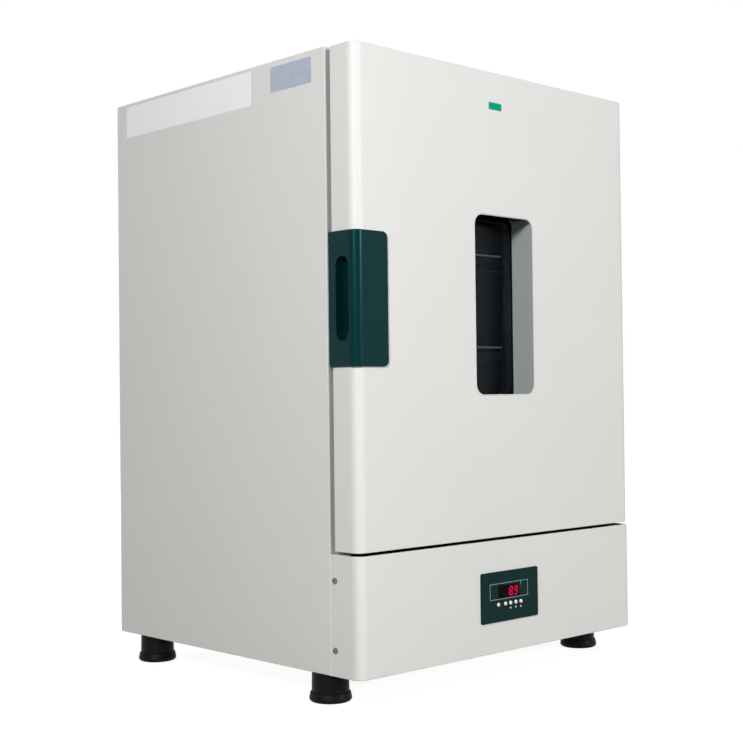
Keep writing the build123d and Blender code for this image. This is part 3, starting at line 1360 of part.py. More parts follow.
def keeper_plates():
    """Steel plates on the door that the magnets hold."""
    depth = (DOOR_BACK_Y, DOOR_BACK_Y + KEEPER_THICKNESS)
    return group([block(magnet_width(), depth, around(height, MAGNET_HEIGHT)) for height in magnet_heights()])


# Every named piece


def pieces():
    """All nodes of the oven by name."""
    left_panel, right_panel = side_panels()
    fixed_screws = rear_screw_places() + panel_screw_places() + leaf_screw_places(CABINET_LEAF_SCREW_Y)
    nodes = {
        "left_side_panel": left_panel,
        "right_side_panel": right_panel,
        "top_panel": top_panel(),
        "base_plate": base_plate(),
        "compartment_divider": compartment_divider(),
        "front_frame": front_frame(),
        "inner_chamber": inner_chamber(),
        "insulation": insulation(),
        "rear_cover": rear_cover(),
        "lower_front_panel": lower_front_panel(),
        "panel_brackets": panel_brackets(),
        "controller_fascia": controller_fascia(),
        "controller_housing": controller_housing(),
        "controller_board": controller_board(),
        "led_display": led_display(),
        "display_lens": display_lens(),
        "indicator_lamps": indicator_lamps(),
        "foot_screws": foot_screws(),
        "cabinet_screws": screws_at(fixed_screws),
        "shelf_uprights": shelf_uprights(),
        "shelf_runners": shelf_runners(),
        "air_baffle": air_baffle(),
        "heater_element": heater_element(),
        "temperature_probe": temperature_probe(),
        "motor_bracket": motor_bracket(),
        "fan_motor": fan_motor(),
        "exhaust_tube": exhaust_tube(),
        "cable_gland": cable_gland(),
        "power_switch_frame": power_switch_frame(),
        "relay_on_heat_sink": group([heat_sink(), solid_state_relay()]),
        "cabinet_hinge_leaves": cabinet_hinge_leaves(),
        "hinge_pins": hinge_pins(),
        "magnet_catches": magnet_catches(),
        "door_shell": door_shell(),
        "door_inner_plate": door_inner_plate(),
        "door_inner_pan": door_inner_pan(),
        "door_insulation": door_insulation(),
        "window_frame": window_frame(),
        "window_panes": group([glass_pane(GLASS_Y), glass_pane(inner_glass_y())]),
        "window_spacer": window_spacer(),
        "door_gasket": door_gasket(),
        "door_handle": door_handle(),
        "door_hinge_leaves": door_hinge_leaves(),
        "door_leaf_screws": screws_at(leaf_screw_places(DOOR_LEAF_SCREW_Y)),
        "keeper_plates": keeper_plates(),
        "lower_shelf": wire_shelf(SHELF_HEIGHTS[0]),
        "upper_shelf": wire_shelf(SHELF_HEIGHTS[1]),
        "fan_impeller": fan_impeller(),
        "fan_shaft": fan_shaft(),
        "damper_cap": damper_cap(),
        "power_rocker": power_rocker(),
    }
    for name, (x, y) in foot_places().items():
        nodes[name] = Pos(x, y, 0) * rubber_foot()
    for number, place in enumerate(button_places(), start=1):
        nodes[f"button_{number}"] = button(place)
    return nodes


os.makedirs("parts", exist_ok=True)
for node, shape in pieces().items():
    export_step(shape, f"parts/{node}.step")
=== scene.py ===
import math

import bmesh
import bpy
from mathutils import Matrix, Vector


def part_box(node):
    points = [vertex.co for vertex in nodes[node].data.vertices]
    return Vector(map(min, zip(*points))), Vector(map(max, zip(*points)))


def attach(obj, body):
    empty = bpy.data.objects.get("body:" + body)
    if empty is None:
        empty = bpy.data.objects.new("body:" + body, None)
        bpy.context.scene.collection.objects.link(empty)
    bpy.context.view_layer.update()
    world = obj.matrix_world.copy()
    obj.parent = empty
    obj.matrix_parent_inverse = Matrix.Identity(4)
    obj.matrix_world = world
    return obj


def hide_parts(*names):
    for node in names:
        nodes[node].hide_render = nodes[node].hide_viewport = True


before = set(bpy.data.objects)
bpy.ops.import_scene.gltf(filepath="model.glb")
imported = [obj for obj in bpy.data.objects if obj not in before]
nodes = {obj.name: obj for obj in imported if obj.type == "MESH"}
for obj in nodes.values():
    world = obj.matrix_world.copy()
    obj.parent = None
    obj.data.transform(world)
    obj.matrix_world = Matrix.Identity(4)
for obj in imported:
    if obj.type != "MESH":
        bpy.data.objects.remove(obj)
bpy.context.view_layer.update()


# The photographer's view: a long lens at bench height, to the left of the oven's front corner,
# held almost level. The lens is given as the photograph's own focal length in its pixels.
SHOT_PIXELS = 743
FOCAL_PIXELS = 1339.8
SENSOR_MM = 36.0
EYE = Vector((-1.4121, -1.4923, 0.3934))
heading = math.radians(43.460)
climb = math.radians(1.016)
lean = math.radians(-0.665)

ahead = Vector((math.sin(heading) * math.cos(climb), math.cos(heading) * math.cos(climb), math.sin(climb)))
level = Vector((math.cos(heading), -math.sin(heading), 0))
above = level.cross(ahead)
across = level * math.cos(lean) + above * math.sin(lean)
upward = above * math.cos(lean) - level * math.sin(lean)
camera = bpy.data.objects.new("camera", bpy.data.cameras.new("camera"))
bpy.context.collection.objects.link(camera)
camera.matrix_world = Matrix.Translation(EYE) @ Matrix((across, upward, -ahead)).transposed().to_4x4()
camera.data.sensor_width = SENSOR_MM
camera.data.lens = SENSOR_MM * FOCAL_PIXELS / SHOT_PIXELS
bpy.context.scene.camera = camera


# The studio: a seamless white floor and backdrop, and two small square softboxes, one to the left
# of the camera and one before the door. A large dim one behind lights the rear and the right.
SMALL_BOX = 0.5
LARGE_BOX = 1.4
OVEN_FRONT = (-0.2, -0.2, 0.6)
OVEN_BACK = (0.0, 0.2, 0.5)
WHITE = (1.0, 1.0, 1.0)
ROOM_TONE = (0.97, 0.985, 1.0)
ROOM_GLOW = 0.06
FLOOR_SPAN = 60.0
FLOOR_TONE = (0.235, 0.232, 0.195)
FLOOR_GLOW = 0.91
SWEEP_START = 0.6
SWEEP_END = 1.8


def softbox(name, place, target, side, watts):
    """A square area lamp of a side that faces a target."""
    lamp = bpy.data.objects.new(name, bpy.data.lights.new(name, "AREA"))
    bpy.context.collection.objects.link(lamp)
    lamp.data.shape = "SQUARE"
    lamp.data.size = side
    lamp.data.energy = watts
    lamp.location = place
    lamp.rotation_euler = (Vector(target) - Vector(place)).to_track_quat("-Z", "Y").to_euler()


softbox("left_softbox", place=(-2.4, -1.57, 1.45), target=OVEN_FRONT, side=SMALL_BOX, watts=62.5)
softbox("door_softbox", place=(1.3, -4.15, 1.5), target=OVEN_FRONT, side=SMALL_BOX, watts=91.5)
softbox("rear_softbox", place=(1.9, 3.0, 2.2), target=OVEN_BACK, side=LARGE_BOX, watts=70.0)


def source(tree, kind, tone, strength):
    """A background or emission node of a tone and strength."""
    light = tree.nodes.new(kind)
    light.inputs["Color"].default_value = (*tone, 1.0)
    light.inputs["Strength"].default_value = strength
    return light


def seen_directly(tree):
    """One where a ray comes from the camera, a gloss or a pane, and nought elsewhere."""
    path = tree.nodes.new("ShaderNodeLightPath")
    seen = path.outputs["Is Camera Ray"]
    for kind in ("Is Glossy Ray", "Is Transmission Ray"):
        either = tree.nodes.new("ShaderNodeMath")
        either.operation = "MAXIMUM"
        tree.links.new(seen, either.inputs[0])
        tree.links.new(path.outputs[kind], either.inputs[1])
        seen = either.outputs[0]
    return seen


def lit_or_seen(tree, lighting, seen):
    """A shader that lights the oven as one source and is itself seen as another."""
    pick = tree.nodes.new("ShaderNodeMixShader")
    tree.links.new(seen_directly(tree), pick.inputs[0])
    tree.links.new(lighting.outputs[0], pick.inputs[1])
    tree.links.new(seen.outputs[0], pick.inputs[2])
    return pick.outputs[0]


def mapped(tree, value, low, high, start=0.0, end=1.0, curve="LINEAR"):
    """A value that goes from low to high while another goes from start to end."""
    span = tree.nodes.new("ShaderNodeMapRange")
    span.interpolation_type = curve
    for socket, number in (("From Min", start), ("From Max", end), ("To Min", low), ("To Max", high)):
        span.inputs[socket].default_value = number
    tree.links.new(value, span.inputs["Value"])
    return span.outputs["Result"]


room = bpy.data.worlds.new("white_room")
bpy.context.scene.world = room
room.use_nodes = True
room_tree = room.node_tree
room_tree.nodes.clear()
room_out = room_tree.nodes.new("ShaderNodeOutputWorld")
room_light = source(room_tree, "ShaderNodeBackground", ROOM_TONE, ROOM_GLOW)
room_white = source(room_tree, "ShaderNodeBackground", WHITE, 1.0)
room_tree.links.new(lit_or_seen(room_tree, room_light, room_white), room_out.inputs["Surface"])

half = FLOOR_SPAN / 2
floor_corners = [(-half, -half, 0), (half, -half, 0), (half, half, 0), (-half, half, 0)]
floor_mesh = bpy.data.meshes.new("floor")
floor_mesh.from_pydata(floor_corners, [], [(0, 1, 2, 3)])
floor = bpy.data.objects.new("floor", floor_mesh)
bpy.context.collection.objects.link(floor)
floor_paint = bpy.data.materials.new("floor_paint")
floor_paint.use_nodes = True
floor_tree = floor_paint.node_tree
floor_tree.nodes.clear()
floor_out = floor_tree.nodes.new("ShaderNodeOutputMaterial")
floor_matt = floor_tree.nodes.new("ShaderNodeBsdfDiffuse")
floor_matt.inputs["Color"].default_value = (*FLOOR_TONE, 1.0)
floor_place = floor_tree.nodes.new("ShaderNodeTexCoord")
floor_reach = floor_tree.nodes.new("ShaderNodeVectorMath")
floor_reach.operation = "LENGTH"
floor_tree.links.new(floor_place.outputs["Object"], floor_reach.inputs[0])
floor_rise = mapped(
    floor_tree, floor_reach.outputs["Value"], FLOOR_GLOW, 1.0, SWEEP_START, SWEEP_END, "SMOOTHSTEP"
)
floor_dark = source(floor_tree, "ShaderNodeEmission", WHITE, 0.0)
floor_lift = source(floor_tree, "ShaderNodeEmission", WHITE, 1.0)
floor_tree.links.new(floor_rise, floor_lift.inputs["Strength"])
floor_sum = floor_tree.nodes.new("ShaderNodeAddShader")
floor_tree.links.new(floor_matt.outputs[0], floor_sum.inputs[0])
floor_tree.links.new(lit_or_seen(floor_tree, floor_dark, floor_lift), floor_sum.inputs[1])
floor_tree.links.new(floor_sum.outputs[0], floor_out.inputs["Surface"])
floor_mesh.materials.append(floor_paint)


# Outer sheets: folded steel about a millimetre thick, degreased, then powder coated and baked, so
# the off-white skin has a fine orange peel, soft gloss and a slightly cloudy tone. The sheet frame
# that the door closes on is given a darker grey as painted shade, for the dark gap round the door.
SHEET_WHITE = (0.761, 0.758, 0.748)
FRAME_SHADE_GREY = (0.42, 0.42, 0.41)
PEEL_PER_METRE = 620.0
GRAIN_HEIGHT = 0.0002
CLOUD_DETAIL = 4.0
CLOUD_LOW = 0.3
CLOUD_HIGH = 0.7


def new_finish(name):
    """A new material, its node tree and its shader."""
    finish = bpy.data.materials.new(name)
    finish.use_nodes = True
    tree = finish.node_tree
    return finish, tree, tree.nodes["Principled BSDF"]


def noise(tree, per_metre, detail=2.0, stretch=None):
    """Noise fixed to the piece, of so many grains to a metre, and stretched by axis where asked."""
    place = tree.nodes.new("ShaderNodeTexCoord").outputs["Object"]
    if stretch:
        pull = tree.nodes.new("ShaderNodeMapping")
        pull.inputs["Scale"].default_value = stretch
        tree.links.new(place, pull.inputs["Vector"])
        place = pull.outputs["Vector"]
    grains = tree.nodes.new("ShaderNodeTexNoise")
    grains.inputs["Scale"].default_value = per_metre
    grains.inputs["Detail"].default_value = detail
    tree.links.new(place, grains.inputs["Vector"])
    return grains.outputs["Fac"]


def shades(colour, drift):
    """The darker and the paler shade of a colour, each a share away from it."""
    return [[min(1.0, channel * share) for channel in colour] for share in (1 - drift, 1 + drift)]


def toned(tree, value, dark, pale, start=0.0, end=1.0):
    """A colour that goes from dark to pale while a value goes from start to end."""
    tone = tree.nodes.new("ShaderNodeValToRGB")
    for stop, place, colour in zip(tone.color_ramp.elements, (start, end), (dark, pale)):
        stop.position = place
        stop.color = (*colour, 1.0)
    tree.links.new(value, tone.inputs["Fac"])
    return tone.outputs["Color"]


def raise_skin(tree, skin, value, relief, height):
    """Raises a shader's surface by a value, up to a height in metres at full relief."""
    bump = tree.nodes.new("ShaderNodeBump")
    bump.inputs["Strength"].default_value = relief
    bump.inputs["Distance"].default_value = height
    tree.links.new(value, bump.inputs["Height"])
    tree.links.new(bump.outputs["Normal"], skin.inputs["Normal"])


def coated(name, colour, drift, clouds, roughness, spread, grain, relief, **fixed):
    """A finish whose tone and gloss drift in clouds over a fine grain, both counted to a metre."""
    finish, tree, skin = new_finish(name)
    cloud = noise(tree, clouds, CLOUD_DETAIL)
    tone = toned(tree, cloud, *shades(colour, drift), CLOUD_LOW, CLOUD_HIGH)
    tree.links.new(tone, skin.inputs["Base Color"])
    tree.links.new(mapped(tree, cloud, roughness - spread, roughness + spread), skin.inputs["Roughness"])
    raise_skin(tree, skin, noise(tree, grain), relief, GRAIN_HEIGHT)
    for socket, value in fixed.items():
        skin.inputs[socket.replace("_", " ")].default_value = value
    return finish


def dress(finish, *names):
    """Gives CAD nodes a finish."""
    for name in names:
        for slot in nodes[name].material_slots:
            slot.material = finish


powder_coat = coated(
    "powder_coat", SHEET_WHITE, drift=0.012, clouds=5.0, roughness=0.50, spread=0.04,
    grain=PEEL_PER_METRE, relief=0.10, Specular_IOR_Level=0.38
)
# Painted shade: the frame's darker grey darkens the gap seen round the closed door.
frame_shade_coat = coated(
    "frame_shade_coat", FRAME_SHADE_GREY, drift=0.02, clouds=6.0, roughness=0.5, spread=0.04,
    grain=PEEL_PER_METRE, relief=0.08
)
dress(powder_coat, "left_side_panel", "right_side_panel", "top_panel", "rear_cover")
dress(powder_coat, "lower_front_panel", "door_shell", "door_inner_plate")
dress(frame_shade_coat, "front_frame")


# Rating plate, label strip and sticker: thin foils stuck on the paint and rolled down by hand.
# The plate is a silvery blue anodised foil, the strip is white vinyl and the sticker green film.
# Each is placed by its corners: metres back from the seam or along the door, and up the panels.
FOIL_THICKNESS = 0.00025
FOIL_STEPS = 4
STRIP_CORNERS = ((0.151, 0.7485), (0.454, 0.7952))
STRIP_RADIUS = 0.003
PLATE_CORNERS = ((0.0262, 0.7585), (0.1088, 0.7921))
PLATE_RADIUS = 0.0015
STICKER_CORNERS = ((0.2534, 0.7462), (0.2797, 0.7561))
STICKER_RADIUS = 0.001
side_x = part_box("left_side_panel")[0][0]
seam_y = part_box("left_side_panel")[0][1]
face_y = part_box("door_shell")[0][1]
left_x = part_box("door_shell")[0][0]
base_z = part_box("lower_front_panel")[0][2]


def quarter_turn(start, steps):
    """The angles along a quarter turn, in radians, from a start in degrees."""
    return [math.radians(start + 90 * step / steps) for step in range(steps + 1)]


def rounded_rectangle(low, high, radius, steps):
    """The points round a flat rectangle with rounded corners, from its low and high corner."""
    middles = (
        (high[0] - radius, high[1] - radius, 0),
        (low[0] + radius, high[1] - radius, 90),
        (low[0] + radius, low[1] + radius, 180),
        (high[0] - radius, low[1] + radius, 270),
    )
    points = []
    for first, second, start in middles:
        for turn in quarter_turn(start, steps):
            points.append((first + radius * math.cos(turn), second + radius * math.sin(turn)))
    return points


def as_object(name, drawn):
    """Turns a drawn shape into an object."""
    mesh = bpy.data.meshes.new(name)
    drawn.to_mesh(mesh)
    drawn.free()
    made = bpy.data.objects.new(name, mesh)
    bpy.context.collection.objects.link(made)
    return made


def as_piece(name, drawn, finish, body):
    """Turns a drawn closed shape into a piece with a finish, which rides on a body."""
    bmesh.ops.recalc_face_normals(drawn, faces=drawn.faces[:])
    piece = as_object(name, drawn)
    piece.data.materials.append(finish)
    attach(piece, body)
    return piece


def foil(name, corners, outward, radius, finish, body):
    """A thin label with rounded corners, from its low and high corner on a flat panel."""
    flat = [axis for axis in range(3) if not outward[axis]]
    low, high = ([corner[axis] for axis in flat] for corner in corners)
    sheet = bmesh.new()
    outline = []
    for point in rounded_rectangle(low, high, radius, FOIL_STEPS):
        place = Vector(corners[0])
        place[flat[0]], place[flat[1]] = point
        outline.append(sheet.verts.new(place))
    sheet.faces.new(outline)
    raised = bmesh.ops.extrude_face_region(sheet, geom=sheet.faces[:])["geom"]
    top = [part for part in raised if isinstance(part, bmesh.types.BMVert)]
    bmesh.ops.translate(sheet, verts=top, vec=Vector(outward) * FOIL_THICKNESS)
    as_piece(name, sheet, finish, body)


vinyl_white = coated(
    "vinyl_white", (0.965, 0.955, 0.985), drift=0.01, clouds=20.0, roughness=0.3, spread=0.04,
    grain=900.0, relief=0.04
)
foil_blue = coated(
    "foil_blue", (0.42, 0.475, 0.58), drift=0.05, clouds=60.0, roughness=0.34, spread=0.06,
    grain=1500.0, relief=0.06, Metallic=0.25
)
sticker_green = coated(
    "sticker_green", (0.001, 0.34, 0.21), drift=0.06, clouds=160.0, roughness=0.35, spread=0.05,
    grain=1500.0, relief=0.05, Specular_IOR_Level=0.05
)
strip_ends = [(side_x, seam_y + back, base_z + up) for back, up in STRIP_CORNERS]
plate_ends = [(side_x, seam_y + back, base_z + up) for back, up in PLATE_CORNERS]
sticker_ends = [(left_x + along, face_y, base_z + up) for along, up in STICKER_CORNERS]
foil("label_strip", strip_ends, (-1, 0, 0), STRIP_RADIUS, vinyl_white, "cabinet")
foil("rating_plate", plate_ends, (-1, 0, 0), PLATE_RADIUS, foil_blue, "cabinet")
foil("inspection_sticker", sticker_ends, (0, -1, 0), STICKER_RADIUS, sticker_green, "door")


# Cross-head screws: dark plated pan heads pressed with a cross recess. One head is turned and cut,
# then set on every seat of the panels, the rear cover and the nickel-plated hinge leaves.
HEAD_RADIUS = 0.004
HEAD_HEIGHT = 0.0026
HEAD_FLAT = 0.55
HEAD_RIM = 0.35
HEAD_STEPS = 6
HEAD_SIDES = 28
RECESS_REACH = 0.0021
RECESS_WIDTH = 0.0009
RECESS_DEPTH = 0.0014
SHANK_RADIUS = 0.002
SHANK_LENGTH = 0.008
WELD = 1e-6
SIDE_SCREW_SETBACK = 0.009
SIDE_SCREW_HEIGHTS = (0.033, 0.121)
REAR_SCREW_INSET = 0.014
REAR_SCREW_LOWEST = 0.04
REAR_SCREW_PITCH = 0.24
REAR_SCREW_ROWS = 4
REAR_SHEET = 0.0012
LEAF_FROM_END = 0.07
LEAF_SCREW_OFFSET = 0.015
DOOR_LEAF_WALL = 0.005
CABINET_LEAF_SEAT = 0.0228
DOOR_LEAF_SEAT = 0.024
CABINET_HEAD_TURN = 0.55
DOOR_HEAD_TURN = 0.8

nickel = coated(
    "nickel", (0.55, 0.54, 0.52), drift=0.08, clouds=400.0, roughness=0.27, spread=0.08,
    grain=2500.0, relief=0.05, Metallic=1.0
)
head_steel = coated(
    "head_steel", (0.17, 0.165, 0.16), drift=0.15, clouds=400.0, roughness=0.18, spread=0.05,
    grain=2500.0, relief=0.05, Metallic=1.0
)


def made_plain(piece):
    """Turns a piece's modifiers into plain mesh."""
    evaluated = piece.evaluated_get(bpy.context.evaluated_depsgraph_get())
    mesh = bpy.data.meshes.new_from_object(evaluated)
    piece.modifiers.clear()
    piece.data = mesh


def cross_head_screw():
    """A pan head with a cross recess on a plain shank, its seat at the origin, along Z."""
    profile = [(0.0, -SHANK_LENGTH), (SHANK_RADIUS, -SHANK_LENGTH), (SHANK_RADIUS, 0.0), (HEAD_RADIUS, 0.0)]
    for turn in quarter_turn(0, HEAD_STEPS):
        reach = HEAD_RADIUS * (HEAD_FLAT + (1 - HEAD_FLAT) * math.cos(turn))
        profile.append((reach, HEAD_HEIGHT * (HEAD_RIM + (1 - HEAD_RIM) * math.sin(turn))))
    profile.append((0.0, HEAD_HEIGHT))
    turned = bmesh.new()
    points = [turned.verts.new((radius, 0, height)) for radius, height in profile]
    edges = [turned.edges.new(pair) for pair in zip(points, points[1:])]
    bmesh.ops.spin(
        turned, geom=points + edges, cent=(0, 0, 0), axis=(0, 0, 1), angle=2 * math.pi,
        steps=HEAD_SIDES, use_merge=True
    )
    bmesh.ops.remove_doubles(turned, verts=turned.verts[:], dist=WELD)
    bmesh.ops.recalc_face_normals(turned, faces=turned.faces[:])
    head = as_object("screw_master", turned)
    cross = bmesh.new()
    for long_x, long_y in ((RECESS_REACH, RECESS_WIDTH / 2), (RECESS_WIDTH / 2, RECESS_REACH)):
        bar = bmesh.ops.create_cube(cross, size=2.0)["verts"]
        bmesh.ops.scale(cross, verts=bar, vec=(long_x, long_y, RECESS_DEPTH))
        bmesh.ops.translate(cross, verts=bar, vec=(0, 0, HEAD_HEIGHT))
    cutter = as_object("recess_cutter", cross)
    cut = head.modifiers.new("recess", "BOOLEAN")
    cut.object = cutter
    cut.solver = "EXACT"
    cut.use_self = True
    made_plain(head)
    bpy.data.objects.remove(cutter)
    return head


def seating_tree(name, finish):
    """Geometry nodes that stand a piece on every point, along the point's own direction."""
    tree = bpy.data.node_groups.new(name, "GeometryNodeTree")
    tree.interface.new_socket("Seats", in_out="INPUT", socket_type="NodeSocketGeometry")
    tree.interface.new_socket("Piece", in_out="INPUT", socket_type="NodeSocketObject")
    tree.interface.new_socket("Turn", in_out="INPUT", socket_type="NodeSocketFloat")
    tree.interface.new_socket("Pieces", in_out="OUTPUT", socket_type="NodeSocketGeometry")
    entry = tree.nodes.new("NodeGroupInput")
    outlet = tree.nodes.new("NodeGroupOutput")
    points = tree.nodes.new("GeometryNodeMeshToPoints")
    info = tree.nodes.new("GeometryNodeObjectInfo")
    stand = tree.nodes.new("GeometryNodeInstanceOnPoints")
    outward = tree.nodes.new("GeometryNodeInputNamedAttribute")
    outward.data_type = "FLOAT_VECTOR"
    outward.inputs["Name"].default_value = "outward"
    aim = tree.nodes.new("FunctionNodeAlignRotationToVector")
    aim.axis = "Z"
    number = tree.nodes.new("GeometryNodeInputIndex")
    spin = tree.nodes.new("ShaderNodeMath")
    spin.operation = "MULTIPLY"
    spin_turn = tree.nodes.new("FunctionNodeAxisAngleToRotation")
    spin_turn.inputs["Axis"].default_value = (0, 0, 1)
    both = tree.nodes.new("FunctionNodeRotateRotation")
    both.rotation_space = "LOCAL"
    whole = tree.nodes.new("GeometryNodeRealizeInstances")
    colour = tree.nodes.new("GeometryNodeSetMaterial")
    colour.inputs["Material"].default_value = finish
    links = (
        (entry.outputs["Seats"], points.inputs["Mesh"]),
        (points.outputs["Points"], stand.inputs["Points"]),
        (entry.outputs["Piece"], info.inputs["Object"]),
        (info.outputs["Geometry"], stand.inputs["Instance"]),
        (outward.outputs["Attribute"], aim.inputs["Vector"]),
        (number.outputs[0], spin.inputs[0]),
        (entry.outputs["Turn"], spin.inputs[1]),
        (spin.outputs[0], spin_turn.inputs["Angle"]),
        (aim.outputs["Rotation"], both.inputs["Rotation"]),
        (spin_turn.outputs["Rotation"], both.inputs["Rotate By"]),
        (both.outputs["Rotation"], stand.inputs["Rotation"]),
        (stand.outputs["Instances"], whole.inputs["Geometry"]),
        (whole.outputs["Geometry"], colour.inputs["Geometry"]),
        (colour.outputs["Geometry"], outlet.inputs["Pieces"]),
    )
    for start, end in links:
        tree.links.new(start, end)
    return tree


def give(modifier, **values):
    """Sets a modifier's inputs by their names in the tree."""
    for item in modifier.node_group.interface.items_tree:
        if item.in_out == "INPUT" and item.name in values:
            modifier[item.identifier] = values[item.name]


def seated(name, seats, piece, turn, finish, body):
    """Copies of one piece on all (point, direction) seats, each turned further than the last."""
    mesh = bpy.data.meshes.new(name)
    mesh.from_pydata([point for point, _ in seats], [], [])
    outward = mesh.attributes.new("outward", "FLOAT_VECTOR", "POINT")
    for index, (_, direction) in enumerate(seats):
        outward.data[index].vector = direction
    copies = bpy.data.objects.new(name, mesh)
    bpy.context.collection.objects.link(copies)
    modifier = copies.modifiers.new("seats", "NODES")
    modifier.node_group = seating_tree(name + "_seats", finish)
    give(modifier, Piece=piece, Turn=turn)
    made_plain(copies)
    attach(copies, body)
    return copies


screw = cross_head_screw()
right_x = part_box("right_side_panel")[1][0]
rear_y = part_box("left_side_panel")[1][1]
leaf_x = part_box("door_hinge_leaves")[0][0] + DOOR_LEAF_WALL
leaf_middles = (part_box("door_shell")[0][2] + LEAF_FROM_END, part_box("door_shell")[1][2] - LEAF_FROM_END)
leaf_heights = [middle + side * LEAF_SCREW_OFFSET for middle in leaf_middles for side in (-1, 1)]
cabinet_seats = [
    ((x, seam_y - SIDE_SCREW_SETBACK, base_z + up), (out, 0, 0))
    for x, out in ((side_x, -1), (right_x, 1))
    for up in SIDE_SCREW_HEIGHTS
]
cabinet_seats += [
    ((x, rear_y + REAR_SHEET, base_z + REAR_SCREW_LOWEST + REAR_SCREW_PITCH * row), (0, 1, 0))
    for x in (side_x + REAR_SCREW_INSET, right_x - REAR_SCREW_INSET)
    for row in range(REAR_SCREW_ROWS)
]
cabinet_seats += [((leaf_x, seam_y + CABINET_LEAF_SEAT, z), (1, 0, 0)) for z in leaf_heights]
door_seats = [((leaf_x, seam_y - DOOR_LEAF_SEAT, z), (1, 0, 0)) for z in leaf_heights]
cabinet_heads = seated(
    "cabinet_cross_screws", cabinet_seats, screw, CABINET_HEAD_TURN, head_steel, "cabinet"
)
door_heads = seated(
    "door_cross_screws", door_seats, screw, DOOR_HEAD_TURN, head_steel, "door"
)
bpy.data.objects.remove(screw)
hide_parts("cabinet_screws")
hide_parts("door_leaf_screws")
dress(nickel, "foot_screws", "cabinet_hinge_leaves", "door_hinge_leaves", "hinge_pins")


# Feet: turned rubber bumpers with a flared skirt, moulded in one piece and screwed on from below.
# The rubber is matt black with a dusty bloom and a faint moulding grain.
foot_rubber = coated(
    "foot_rubber", (0.0035, 0.0035, 0.004), drift=0.25, clouds=90.0, roughness=0.46, spread=0.06,
    grain=1400.0, relief=0.12, Specular_IOR_Level=0.09
)
dress(foot_rubber, "foot_front_left", "foot_front_right", "foot_rear_left", "foot_rear_right")


# Door handle: an injection-moulded ABS shell in dark green that wraps round the door's free edge,
# with an upright finger recess in its side. The moulded skin is satin, with a fine leather grain.
handle_green = coated(
    "handle_green", (0.0005, 0.018, 0.019), drift=0.05, clouds=30.0, roughness=0.24, spread=0.02,
    grain=1800.0, relief=0.10, Specular_IOR_Level=0.20, Specular_Tint=(0.25, 0.85, 1.0, 1.0)
)
dress(handle_green, "door_handle")


# Temperature controller: a dark green polycarbonate fascia with a smoked window, screen-printed
# pale lines and arrows, two small lamps and five white keys. A black housing behind it holds one
# green circuit board.
fascia_green = coated(
    "fascia_green", (0.002, 0.021, 0.021), drift=0.06, clouds=60.0, roughness=0.40, spread=0.04,
    grain=2600.0, relief=0.10, Specular_IOR_Level=0.06
)
smoked = coated(
    "smoked_window", (0.003, 0.002, 0.003), drift=0.2, clouds=120.0, roughness=0.12, spread=0.03,
    grain=900.0, relief=0.02, Specular_IOR_Level=0.02
)
key_white = coated(
    "key_white", (0.90, 0.91, 0.88), drift=0.02, clouds=300.0, roughness=0.30, spread=0.05,
    grain=3000.0, relief=0.03
)
lamp_dark = coated(
    "lamp_dark", (0.02, 0.005, 0.006), drift=0.1, clouds=300.0, roughness=0.2, spread=0.03,
    grain=3000.0, relief=0.02, Specular_IOR_Level=0.1
)
housing_black = coated(
    "housing_black", (0.015, 0.015, 0.016), drift=0.1, clouds=80.0, roughness=0.5, spread=0.05,
    grain=1600.0, relief=0.1
)
board_green = coated(
    "board_green", (0.01, 0.12, 0.05), drift=0.15, clouds=200.0, roughness=0.3, spread=0.05,
    grain=2200.0, relief=0.1
)
print_pale = coated(
    "print_pale", (0.36, 0.50, 0.47), drift=0.06, clouds=500.0, roughness=0.5, spread=0.05,
    grain=3000.0, relief=0.05
)
print_white = coated(
    "print_white", (0.93, 0.95, 0.94), drift=0.04, clouds=500.0, roughness=0.5, spread=0.05,
    grain=3000.0, relief=0.05
)
dress(fascia_green, "controller_fascia")
dress(smoked, "display_lens", "led_display")
dress(key_white, "button_1", "button_2", "button_3", "button_4", "button_5")
dress(lamp_dark, "indicator_lamps")
dress(housing_black, "controller_housing")
dress(board_green, "controller_board")

fascia_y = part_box("controller_fascia")[0][1]
lens_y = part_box("display_lens")[0][1]
INK = 0.00012
LINE_WIDTH = 0.00055
LINES_LEFT = left_x + 0.2410
LINES_RIGHT = left_x + 0.3199
LINES_LOW = base_z + 0.0733
LINES_HIGH = base_z + 0.0946
TICK_X = left_x + 0.3051
TICK_LENGTH = 0.0066
ARROW = 0.0016
ARROW_TAIL = 0.7
ARROW_Z = base_z + 0.0592


def flat_strokes(name, outlines, front, depth, finish):
    """Closed outlines in X and Z, each made a thin plate that stands out of a front plane."""
    drawn = bmesh.new()
    for outline in outlines:
        near = [drawn.verts.new((x, front - depth, z)) for x, z in outline]
        far = [drawn.verts.new((x, front, z)) for x, z in outline]
        drawn.faces.new(near)
        drawn.faces.new(list(reversed(far)))
        for step in range(len(outline)):
            after = (step + 1) % len(outline)
            drawn.faces.new((near[step], near[after], far[after], far[step]))
    as_piece(name, drawn, finish, "cabinet")


def stroke(start, end):
    """A straight printed line between two points, with square ends."""
    start, end = Vector(start), Vector(end)
    along = (end - start).normalized() * LINE_WIDTH / 2
    side = Vector((-along.y, along.x))
    return (start - along + side, start - along - side, end + along - side, end + along + side)


def arrow(middle, aim):
    """A small triangle round a middle, its tip towards an aim."""
    reach = Vector(aim) * ARROW
    side = Vector((-reach.y, reach.x))
    tail = middle - reach * ARROW_TAIL
    return (middle + reach, tail + side, tail - side)


